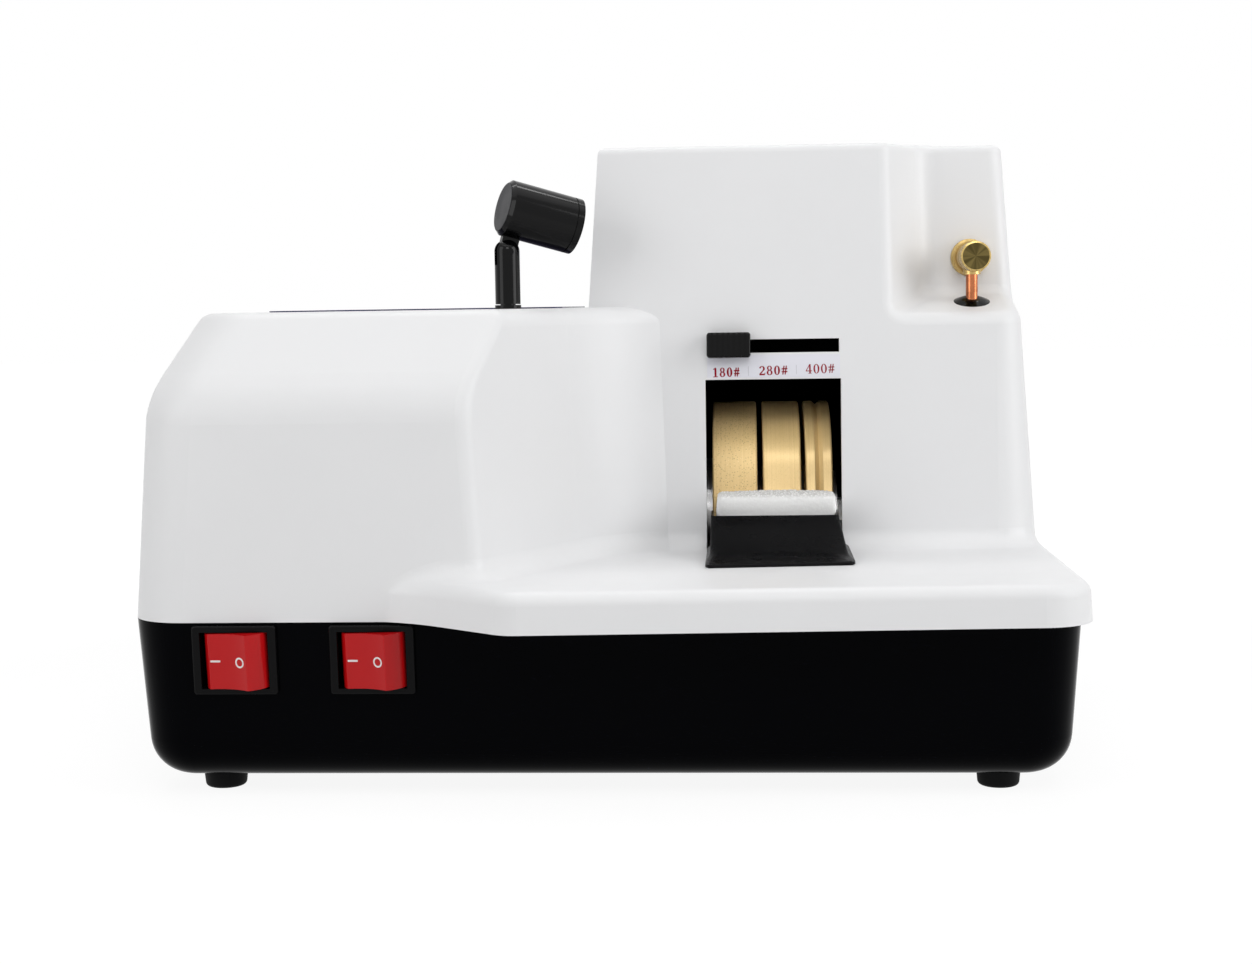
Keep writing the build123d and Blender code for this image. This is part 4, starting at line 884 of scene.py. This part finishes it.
# ---------------------------------------------------------------- scale strip
@dataclass
class Glyph:
    """Flat bold figures with thick and thin strokes, built from arcs and bars."""

    weight: float = 1.0
    bold: float = 0.72
    thin: float = 0.26
    shape: bmesh.types.BMesh = field(default_factory=bmesh.new)

    def arc(self, centre: tuple[float, float], outer: tuple[float, float],
            inner: tuple[float, float], start: float = 0.0, sweep: float = 360.0) -> None:
        """Add an elliptic ring or a part of one.

        Args:
            centre: Its middle.
            outer: Half width and half height of its outside.
            inner: The same of its hole.
            start: Where it begins, in degrees.
            sweep: How far it goes.
        """
        first = math.radians(start)
        rim = self.shape.verts.new((math.cos(first), math.sin(first), 0))
        hole = self.shape.verts.new((math.cos(first) / 2, math.sin(first) / 2, 0))
        edge = self.shape.edges.new((rim, hole))
        known = set(self.shape.verts) - {rim, hole}
        bmesh.ops.spin(
            self.shape, geom=[rim, hole, edge], cent=(0, 0, 0), axis=(0, 0, 1), dvec=(0, 0, 0),
            angle=math.radians(sweep), steps=max(8, int(sweep / 10)), use_merge=sweep >= 360,
            use_duplicate=False,
        )
        added = [vert for vert in self.shape.verts if vert not in known]
        between = 0.75
        for vert in added:
            size = outer if vert.co.length > between else tuple(2 * value for value in inner)
            vert.co = (vert.co.x * size[0] + centre[0], vert.co.y * size[1] + centre[1], 0)

    def bar(self, start: tuple[float, float], end: tuple[float, float], width: float) -> None:
        """Add a straight stroke.

        Args:
            start: One end of its middle line.
            end: The other end.
            width: Its thickness.
        """
        first, last = Vector(start), Vector(end)
        ahead = last - first
        side = Vector((-ahead.y, ahead.x)).normalized() * width / 2
        corners = [
            self.shape.verts.new((point.x, point.y, 0))
            for point in (first - side, last - side, last + side, first + side)
        ]
        bmesh.ops.contextual_create(self.shape, geom=corners)

    def draw(self, figure: str) -> None:
        """Add one figure, 2.4 wide and 3.7 tall, its foot at the origin.

        Args:
            figure: A digit of the scale, or the number sign.
        """
        bold = self.bold * self.weight
        thin = self.thin * self.weight
        if figure == "0":
            self.arc((0, 1.85), (1.15, 1.88), (1.15 - bold, 1.88 - thin))
        elif figure == "8":
            self.arc((0, 2.78), (0.98, 0.94), (0.98 - bold * 0.8, 0.94 - thin))
            self.arc((0, 1.02), (1.15, 1.05), (1.15 - bold * 0.9, 1.05 - thin))
        elif figure == "1":
            self.bar((0.1, 0.1), (0.1, 3.7), bold)
            self.bar((-0.85, 0.12), (1.05, 0.12), thin)
            self.bar((-0.8, 3.05), (0.2, 3.6), thin * 1.2)
        elif figure == "2":
            self.arc((0, 2.65), (1.12, 1.05), (1.12 - bold, 1.05 - thin), -35, 205)
            self.bar((0.75, 2.25), (-1.0, 0.35), thin * 1.8)
            self.bar((-1.1, 0.32), (1.05, 0.32), bold * 0.85)
            self.bar((1.02, 0.3), (1.15, 0.98), thin)
        elif figure == "4":
            self.bar((0.42, 0.05), (0.42, 3.7), bold)
            self.bar((-1.2, 1.05), (1.2, 1.05), thin * 1.3)
            self.bar((-1.15, 1.05), (0.35, 3.6), thin * 1.2)
            self.bar((-0.25, 0.1), (1.05, 0.1), thin)
        else:
            for x in (-0.42, 0.48):
                self.bar((x - 0.3, 0.1), (x + 0.3, 3.6), bold * 0.62)
            for y in (1.25, 2.4):
                self.bar((-1.15, y), (1.15, y), bold * 0.62)


@dataclass
class ScalePrint:
    """The grit numbers and the fine dividers printed on the strip over the window."""

    palette: Palette
    tilt: float = 1.3               # degrees
    climb: float = 0.4              # how much of the tilt moves a number's figures up
    set_width: float = 2.95         # pitch at which a figure has its drawn width
    ink: float = 0.05               # thickness
    number_lift: float = 0.21       # from the tower's front
    divider_lift: float = 0.22
    divider_width: float = 0.16
    divider_edge: float = 0.015
    words: tuple = (
        # text, left end, right end, foot height, stroke weight
        ("180#", 39.6, 51.0, 149.55, 1.08),
        ("280#", 58.2, 70.1, 150.05, 1.0),
        ("400#", 76.8, 88.7, 150.5, 0.82),
    )
    dividers: tuple = (
        # x, foot, top
        (54.25, 149.9, 153.7),
        (73.33, 150.4, 154.0),
    )

    def face(self, x: float, z: float, lift: float) -> Matrix:
        """A place on the strip, tilted as the strip was stuck on.

        Args:
            x: Its X in millimetres.
            z: Its height.
            lift: Its distance from the tower's front.

        Returns:
            A placing matrix whose Z points out of the strip.
        """
        lean = math.radians(DRAFT)
        out = Vector((0, -math.cos(lean), math.sin(lean)))
        up = Vector((0, math.sin(lean), math.cos(lean)))
        spot = Vector((x, TOWER_FRONT + (z - PARTING) * math.tan(lean), z)) + out * lift
        turn = Matrix.Rotation(math.radians(self.tilt), 4, "Z")
        return frame_of(spot, Vector((1, 0, 0)), up, out) @ turn

    def figure(self, text: str, weight: float, pitch: float) -> bmesh.types.BMesh:
        """One printed figure at the origin.

        Args:
            text: The figure.
            weight: Its stroke weight.
            pitch: The room it has, in millimetres.

        Returns:
            Its shape, as thick as the ink.
        """
        glyph = Glyph(weight)
        glyph.draw(text)
        shape = glyph.shape
        bmesh.ops.scale(shape, vec=(pitch / self.set_width, 1, 1), verts=shape.verts[:])
        thick = bmesh.ops.extrude_face_region(shape, geom=shape.faces[:])
        top = [item for item in thick["geom"] if isinstance(item, bmesh.types.BMVert)]
        bmesh.ops.translate(shape, vec=(0, 0, self.ink), verts=top)
        return shape

    def build(self) -> None:
        """Make the numbers and the dividers."""
        numbers = bmesh.new()
        rise = math.tan(math.radians(self.tilt)) * self.climb
        for text, left, right, foot, weight in self.words:
            pitch = (right - left) / len(text)
            for index, character in enumerate(text):
                x = left + pitch * (index + 0.5)
                place = self.face(x, foot + (x - left) * rise, self.number_lift)
                shape = moved(self.figure(character, weight, pitch), place)
                bmesh.ops.recalc_face_normals(shape, faces=shape.faces[:])
                add_to(numbers, shape)
        finish_piece("scale_numbers", numbers, self.palette.ink_red, "case")
        lines = bmesh.new()
        for x, foot, top in self.dividers:
            size = (self.divider_width, top - foot, self.ink)
            line = block(size, (0, (top - foot) / 2, 0), self.divider_edge, 1)
            add_to(lines, moved(line, self.face(x, foot, self.divider_lift)))
        finish_piece("scale_dividers", lines, self.palette.print_grey, "case")


# ---------------------------------------------------------------- sponge and holder
@dataclass
class SpongeHolder:
    """Black holder in front of the wheels: a leaning skirt that flares into a thin foot."""

    palette: Palette
    middle: float = 64.6
    back: float = -43.4
    corner: float = 1.6
    thickness: float = 0.96
    edge: float = 0.25
    skew: float = 0.107             # how much the foot's front runs back towards the right
    skew_top: float = 84.4          # height under which it does
    skew_depth: float = 2.0
    floor_size: Point = (47.0, 19.0, 1.6)
    floor_centre: Point = (64.6, -53.4, 81.9)
    levels: tuple = (
        # height, left side, right side, front
        (96.6, 39.0, 88.6, -63.5), (92.4, 39.0, 89.4, -69.4), (88.0, 38.9, 90.3, -75.9),
        (85.4, 38.8, 90.9, -80.0), (84.0, 38.7, 91.3, -83.2), (83.2, 38.4, 91.7, -86.4),
        (82.8, 37.9, 92.4, -90.6), (82.5, 37.5, 93.0, -95.0), (82.2, 37.3, 93.3, -97.2),
        (81.3, 37.2, 93.4, -97.8),
    )

    def top_rim(self) -> bmesh.types.BMesh:
        """The open outline of the skirt's top, with round corners.

        Returns:
            A shape of edges only.
        """
        height, left, right, front = self.levels[0]
        shape = bmesh.new()
        corners = [(left, self.back), (left, front), (right, front), (right, self.back)]
        verts = [shape.verts.new((x, y, height)) for x, y in corners]
        for pair in zip(verts, verts[1:]):
            shape.edges.new(pair)
        bmesh.ops.bevel(
            shape, geom=verts[1:3], offset=self.corner, segments=4, profile=0.5,
            affect="VERTICES", material=-1,
        )
        sides = [edge for edge in shape.edges if edge.calc_length() > 6]
        bmesh.ops.subdivide_edges(shape, edges=sides, cuts=7)
        return shape

    def skirt(self) -> bmesh.types.BMesh:
        """The skirt without its thickness, grown from the top downwards.

        Returns:
            The shape, its faces outwards.
        """
        shape = self.top_rim()
        rim = shape.edges[:]
        _, left, right, front = self.levels[0]
        for height, next_left, next_right, next_front in self.levels[1:]:
            lower, rim = grow_rim(shape, rim)
            wider = (next_right - next_left) / (right - left)
            deeper = (self.back - next_front) / (self.back - front)
            for vert in lower:
                vert.co.x = next_left + (vert.co.x - left) * wider
                vert.co.y = self.back + (vert.co.y - self.back) * deeper
                vert.co.z = height
            left, right, front = next_left, next_right, next_front
        for vert in shape.verts:
            share = min(1.0, max(0.0, (self.skew_top - vert.co.z) / self.skew_depth))
            reach = (self.back - vert.co.y) / (self.back - front)
            vert.co.y += self.skew * (vert.co.x - self.middle) * share * reach
        bmesh.ops.recalc_face_normals(shape, faces=shape.faces[:])
        if sum(face.normal.y * face.calc_area() for face in shape.faces) > 0:
            bmesh.ops.reverse_faces(shape, faces=shape.faces[:])
        return shape

    def build(self) -> None:
        """Make the skirt, give it a wall and soft edges, and add its floor."""
        piece = finish_piece("sponge_trough", self.skirt(), self.palette.satin_black, "case",
                             stands_for=("sponge_holder",), crease=50)
        wall = piece.modifiers.new("wall", "SOLIDIFY")
        wall.thickness = self.thickness * MM
        wall.offset = -1.0
        wall.use_even_offset = False
        soften = piece.modifiers.new("edges", "BEVEL")
        soften.width = self.edge * MM
        soften.segments = 2
        soften.limit_method = "ANGLE"
        soften.angle_limit = math.radians(55)
        floor = block(self.floor_size, self.floor_centre, 0.3, 2)
        finish_piece("sponge_trough_floor", floor, self.palette.satin_black, "case")


@dataclass
class Sponge:
    """The wet felt sponge that keeps the wheels moist."""

    palette: Palette
    left: float = 41.4
    right: float = 87.9
    front: float = -56.4
    depth: float = 26.0             # of the block, before the wheels hollow it
    low: float = 83.9
    top: float = 103.4
    wheel_radius: float = 51.6      # with the room round the wheels
    crown: float = 0.7
    cuts: int = 11
    voxel: float = 1.9
    pressure: float = 4.0
    frames: int = 20
    cap: float = 0.9                # how far a point may swell
    fluff: float = 0.35             # share of the felt's unevenness on its sides
    fray: float = 2.2               # how much is added at the rim
    rim: float = 1.6                # depth of the rim

    def blank(self) -> bpy.types.Object:
        """A block a little smaller than the space, hollowed by the wheels.

        Returns:
            The block, not yet riding on its body.
        """
        size = (self.right - self.left, self.depth, self.top - self.low)
        centre = ((self.left + self.right) / 2, self.front + self.depth / 2,
                  (self.low + self.top) / 2)
        shape = block(size, centre)
        bmesh.ops.subdivide_edges(
            shape, edges=shape.edges[:], cuts=self.cuts, use_grid_fill=True,
        )
        for vert in shape.verts:
            limit = AXIS_Y - math.sqrt(self.wheel_radius ** 2 - (vert.co.z - AXIS_Z) ** 2)
            share = (vert.co.y - self.front) / self.depth
            vert.co.y = self.front + share * (limit - self.front)
            middle = (vert.co.x - self.left) / (self.right - self.left)
            bulge = math.sin(math.pi * min(1.0, max(0.0, middle))) * math.sin(math.pi * share)
            vert.co.z += self.crown * bulge * (vert.co.z - self.low) / (self.top - self.low)
        piece = finish_piece("felt_sponge", shape, self.palette.sponge, "case",
                             stands_for=("sponge",), crease=180)
        piece.parent = None
        return piece

    def swell(self, piece: bpy.types.Object) -> None:
        """Let air pressure round the block, and keep each point near its place.

        Args:
            piece: The block.
        """
        remesh = piece.modifiers.new("even", "REMESH")
        remesh.mode = "VOXEL"
        remesh.voxel_size = self.voxel * MM
        bpy.context.view_layer.objects.active = piece
        bpy.ops.object.modifier_apply(modifier="even")
        rest = [vert.co.copy() for vert in piece.data.vertices]
        cloth = piece.modifiers.new("swell", "CLOTH")
        cloth.settings.use_pressure = True
        cloth.settings.uniform_pressure_force = self.pressure
        cloth.settings.effector_weights.gravity = 0.0
        cloth.settings.quality = 5
        scene = bpy.context.scene
        for frame in range(1, self.frames + 1):
            scene.frame_set(frame)
        swollen = piece.evaluated_get(bpy.context.evaluated_depsgraph_get()).data
        places = [vert.co.copy() for vert in swollen.vertices]
        piece.modifiers.remove(cloth)
        scene.frame_set(1)
        limit = self.cap * MM
        for vert, start, end in zip(piece.data.vertices, rest, places):
            step = end - start
            if step.length > limit:
                step = step.normalized() * limit
            vert.co = start + step

    def roughen(self, piece: bpy.types.Object) -> None:
        """Make the felt's skin uneven, most of all at its upper rim.

        Args:
            piece: The sponge.
        """
        shape = bmesh.new()
        shape.from_mesh(piece.data)
        shape.normal_update()
        for vert in shape.verts:
            spot = vert.co / MM
            tuft = noise.noise(spot * 1.1) * 0.16 + noise.noise(spot * 2.7) * 0.22
            edge = min(1.0, max(0.0, (spot.z - self.top + self.rim) / 1.2))
            vert.co += vert.normal * (tuft * (self.fluff + self.fray * edge) - 0.05) * MM
        shape.to_mesh(piece.data)
        shape.free()

    def build(self) -> None:
        """Make the sponge, swell it and roughen its felt."""
        piece = self.blank()
        self.swell(piece)
        finer = piece.modifiers.new("finer", "SUBSURF")
        finer.levels = 2
        finer.render_levels = 2
        bpy.context.view_layer.objects.active = piece
        bpy.ops.object.modifier_apply(modifier="finer")
        self.roughen(piece)
        piece.data.shade_smooth()
        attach(piece, "case")
        log.info("sponge has %d faces", len(piece.data.polygons))


# ---------------------------------------------------------------- water valve
@dataclass
class ValveKnob:
    """Brass knob with straight knurling and a turned front."""

    palette: Palette
    back: float = -25.3
    front: float = KNOB_FRONT
    radius: float = 6.0
    teeth: int = 64
    tooth: float = 0.26
    stub: Profile = ((0, -8.6), (2.3, -8.6), (2.45, -8.4), (2.45, 0.2), (0, 0.2))

    def set_ring(self, verts: Sequence[bmesh.types.BMVert], height: float, radius: float,
                 cut: float) -> None:
        """Put a ring of points round the knob's axis.

        Args:
            verts: The points, in order round the axis.
            height: Their distance from the knob's back.
            radius: Their distance from the axis.
            cut: How deep the teeth are there, as a share.
        """
        for index, vert in enumerate(verts):
            angle = math.tau * index / len(verts)
            reach = radius - (self.tooth * cut if index % 2 else 0.0)
            vert.co = (reach * math.cos(angle), reach * math.sin(angle), height)

    def build(self) -> None:
        """Make the knurled body, its smooth ends and the spindle stub."""
        length = self.back - self.front
        land = self.radius - 0.05
        first, *later = (
            # distance from the back, radius, and how deep the teeth are cut
            (0.0, self.radius - 0.45, 0.0), (0.35, land, 0.0),
            (0.55, self.radius, 1.0), (length - 1.5, self.radius, 1.0),
            (length - 1.25, land, 0.0), (length - 0.55, land, 0.0),
            (length - 0.12, self.radius - 0.42, 0.0), (length, self.radius - 0.75, 0.0),
            (length - 0.06, self.radius - 1.4, 0.0), (length - 0.12, self.radius - 3.2, 0.0),
            (length - 0.1, 0.35, 0.0),
        )
        shape = bmesh.new()
        bmesh.ops.create_circle(shape, cap_ends=False, segments=self.teeth * 2, radius=self.radius)
        rim = shape.edges[:]
        self.set_ring(shape.verts[:], *first)
        for step in later:
            fresh, rim = grow_rim(shape, rim)
            fresh.sort(key=lambda vert: math.atan2(vert.co.y, vert.co.x) % math.tau)
            self.set_ring(fresh, *step)
        bmesh.ops.holes_fill(shape, edges=shape.edges[:], sides=0)
        bmesh.ops.recalc_face_normals(shape, faces=shape.faces[:])
        add_to(shape, lathe(self.stub, 40))
        place = frame_of((VALVE_X, self.back, VALVE_Z), Vector((1, 0, 0)), Vector((0, 0, 1)),
                         Vector((0, -1, 0)))
        finish_piece("knurled_knob", shape, self.palette.knob_brass, "valve_handle", place,
                     ("valve_knob",), crease=28)


@dataclass
class Grommet:
    """Thin lens-shaped rubber collar where the pipe enters the sloping pocket floor."""

    palette: Palette
    height: float = 178.2           # of the pocket floor's surface at the pipe
    slope: float = 18.0             # degrees
    rim: float = 7.5
    hole: float = 2.45
    crown: float = 1.5
    sink: float = -1.2

    def build(self) -> None:
        """Make the collar where its solid is."""
        slope = math.radians(self.slope)
        out = Vector((0, -math.sin(slope), math.cos(slope)))
        across = Vector((1, 0, 0))
        profile = (
            (self.hole, self.sink), (self.hole, self.crown), (3.3, self.crown),
            (4.2, self.crown * 0.86), (5.6, self.crown * 0.5), (6.8, 0.18), (self.rim, -0.15),
            (self.rim - 0.3, -0.5), (self.hole + 1, self.sink), (self.hole, self.sink),
        )
        place = frame_of((VALVE_X, PIPE_Y, self.height), across, out.cross(across), out)
        finish_piece("pipe_collar", lathe(profile, 72), self.palette.gloss_black, "case", place,
                     ("pipe_grommet",), crease=40)


# ---------------------------------------------------------------- lamp
@dataclass
class LampCap:
    """Matt disc on the lamp's rear face, and the grub screw near its front."""

    palette: Palette
    pivot: Point = (-39.0, -60.0, 200.0)
    heading: float = 24.0           # degrees, plan direction of the beam
    dip: float = 14.5               # degrees below level
    rise: float = 16.5              # of the head's axis over the pivot
    back: float = -5.4              # of the head's rear face from the pivot
    length: float = 30.0
    radius: float = 11.0
    screw_inset: float = 5.2        # from the head's front
    disc: Profile = (
        (0, 0.1), (9.2, 0.1), (9.5, -0.02), (9.5, -0.18), (9.3, -0.3), (3, -0.28), (0, -0.28),
    )
    screw: Profile = (
        (0, 0.3), (0.6, 0.3), (0.62, -0.15), (1.15, -0.05), (1.3, 0.22), (1.3, 0.5), (0, 0.5),
    )

    def build(self) -> None:
        """Make the disc and the screw."""
        turn, dip = math.radians(self.heading), math.radians(self.dip)
        level = Vector((math.cos(turn), math.sin(turn), 0))
        beam = level * math.cos(dip) + Vector((0, 0, -math.sin(dip)))
        hinge = Vector((-math.sin(turn), math.cos(turn), 0))
        lift = beam.cross(hinge)
        rear = Vector(self.pivot) + lift * self.rise + beam * self.back
        finish_piece("lamp_cap", lathe(self.disc), self.palette.cap_grey, "lamp_shade",
                     frame_of(rear, hinge, -lift, beam), crease=30)
        forward = beam * (self.length - self.screw_inset)
        spot = rear + forward - hinge * self.radius * 0.98
        finish_piece("lamp_screw", lathe(self.screw, 32), self.palette.steel, "lamp_shade",
                     frame_of(spot, beam, lift, hinge), crease=30)


# ---------------------------------------------------------------- studio
@dataclass
class Studio:
    """Pale floor, white surround, soft lamps and the camera."""

    eye: Point = (52.04, -820.19, 178.89)
    heading: float = 3.47           # degrees to the left of straight ahead
    dip: float = 5.18               # degrees below level
    roll: float = 0.87
    lens: float = 56.2
    sensor: float = 36.0
    ambient: float = 0.08           # how strongly the world lights the object
    floor_half: float = 6.0         # metres
    floor_white: float = 0.8        # how the floor lights the object
    floor_shade: float = 0.14       # how much of its shadow the eye sees
    floor_glow: float = 0.91        # its own light near the object
    shadow_reach: float = 330.0
    shadow_fade: float = 280.0
    lamps: tuple = (
        # name, place, target, width, depth, strength
        ("top", (0, -250, 1150), (0, 0, 100), 1500, 1000, 3.6),
        ("back strip", (-60, 330, 1150), (-20, -50, 150), 1000, 150, 3.0),
        ("front strip", (-60, -780, 1150), (-20, -50, 150), 900, 45, 0.9),
        ("wheel light", (64, -33, 137.6), (64, -18, 120), 52, 5, 0.0045),
        ("front high", (150, -1000, 760), (64, -20, 110), 420, 320, 2.1),
        ("left", (-950, -800, 560), (0, -50, 110), 700, 900, 4.9),
        ("right", (1200, -420, 560), (0, -50, 110), 700, 900, 8.0),
    )

    def camera(self) -> None:
        """Put the camera at the viewing angle."""
        yaw, pitch, roll = (math.radians(value) for value in (self.heading, self.dip, self.roll))
        ahead = Vector((
            -math.sin(yaw) * math.cos(pitch), math.cos(yaw) * math.cos(pitch), -math.sin(pitch)
        ))
        level = Vector((math.cos(yaw), math.sin(yaw), 0))
        rise = level.cross(ahead)
        right = level * math.cos(roll) - rise * math.sin(roll)
        up = level * math.sin(roll) + rise * math.cos(roll)
        data = bpy.data.cameras.new("camera")
        data.lens = self.lens
        data.sensor_width = self.sensor
        data.clip_start = 0.01
        data.clip_end = 50.0
        camera = bpy.data.objects.new("camera", data)
        turn = Matrix((right, up, -ahead)).transposed().to_4x4()
        camera.matrix_world = Matrix.Translation(Vector(self.eye) * MM) @ turn
        bpy.context.scene.collection.objects.link(camera)
        bpy.context.scene.camera = camera

    def lights(self) -> None:
        """Hang the soft lamps."""
        for name, place, target, width, depth, strength in self.lamps:
            data = bpy.data.lights.new(name, "AREA")
            data.shape = "RECTANGLE"
            data.size = width * MM
            data.size_y = depth * MM
            data.energy = strength
            lamp = bpy.data.objects.new(name, data)
            aim = (Vector(target) - Vector(place)).to_track_quat("-Z", "Y")
            lamp.matrix_world = Matrix.Translation(Vector(place) * MM) @ aim.to_matrix().to_4x4()
            bpy.context.scene.collection.objects.link(lamp)

    def direct_view(self, graph: Graph) -> Signal:
        """One for rays from the eye and for mirrored or refracted rays, otherwise nought.

        Args:
            graph: The node tree that asks.

        Returns:
            The mask.
        """
        total = graph.node("ShaderNodeLightPath", out="Is Camera Ray")
        for kind in ("Is Glossy Ray", "Is Transmission Ray"):
            ray = graph.node("ShaderNodeLightPath", out=kind)
            total = graph.node("ShaderNodeMath", {"operation": "MAXIMUM"}, {0: total, 1: ray})
        return total

    def surround(self) -> None:
        """A world that lights softly and shows white to the eye and to reflections."""
        world = bpy.data.worlds.new("surround")
        world.use_nodes = True
        graph = Graph(world.node_tree)
        feeds = {"Value": self.direct_view(graph), "To Min": self.ambient, "To Max": 1.0}
        strength = graph.node("ShaderNodeMapRange", feeds=feeds)
        feeds = {"Color": (1, 1, 1, 1), "Strength": strength}
        light = graph.node("ShaderNodeBackground", feeds=feeds)
        output = graph.tree.nodes.new("ShaderNodeOutputWorld")
        graph.tree.links.new(light.socket, output.inputs["Surface"])
        bpy.context.scene.world = world

    def floor(self) -> None:
        """A wide pale floor that shows white and keeps a faint shadow near the object."""
        shape = bmesh.new()
        bmesh.ops.create_grid(shape, x_segments=1, y_segments=1, size=self.floor_half)
        mesh = bpy.data.meshes.new("floor")
        shape.to_mesh(mesh)
        shape.free()
        floor = bpy.data.objects.new("floor", mesh)
        bpy.context.scene.collection.objects.link(floor)
        recipe = Recipe("floor_white")
        x, y, _ = recipe.split(recipe.place())
        away = (x * x + y * y) ** 0.5
        away = away.ramped(self.shadow_reach, self.shadow_reach + self.shadow_fade)
        matt, shown = (
            recipe.node("ShaderNodeBsdfDiffuse", feeds={"Color": (grey, grey, grey, 1)})
            for grey in (self.floor_white, self.floor_shade)
        )
        strength = away * (1 - self.floor_glow) + self.floor_glow
        glow = recipe.node("ShaderNodeEmission", feeds={"Strength": strength})
        both = recipe.node("ShaderNodeAddShader", feeds={0: shown, 1: glow})
        feeds = {0: self.direct_view(recipe), 1: matt, 2: both}
        choice = recipe.node("ShaderNodeMixShader", feeds=feeds)
        recipe.tree.links.new(choice.socket, recipe.output.inputs["Surface"])
        recipe.tree.nodes.remove(recipe.shader)
        mesh.materials.append(recipe.material)

    def build(self) -> None:
        """Set up the whole studio."""
        bpy.context.scene.view_settings.view_transform = "Standard"
        self.camera()
        self.lights()
        self.surround()
        self.floor()
        log.info("studio ready")


def dress_nodes(frame: dict, palette: Palette) -> None:
    """Give each carried-over node its finish.

    Args:
        palette: The finishes.
    """
    wanted = palette.by_node()
    for name, node in frame["nodes"].items():
        node.data.materials.clear()
        node.data.materials.append(wanted[name])
        log.info("%s wears %s", name, wanted[name].name)


def main() -> None:
    """Load the frame, dress it and set the studio."""
    logging.basicConfig(level=logging.INFO, format="%(message)s")
    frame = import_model()
    palette = Palette()
    dress_nodes(frame, palette)
    RockerMarks(palette).build()
    ScalePrint(palette).build()
    SpongeHolder(palette).build()
    Sponge(palette).build()
    ValveKnob(palette).build()
    Grommet(palette).build()
    LampCap(palette).build()
    Studio().build()


if __name__ == "__main__":
    main()
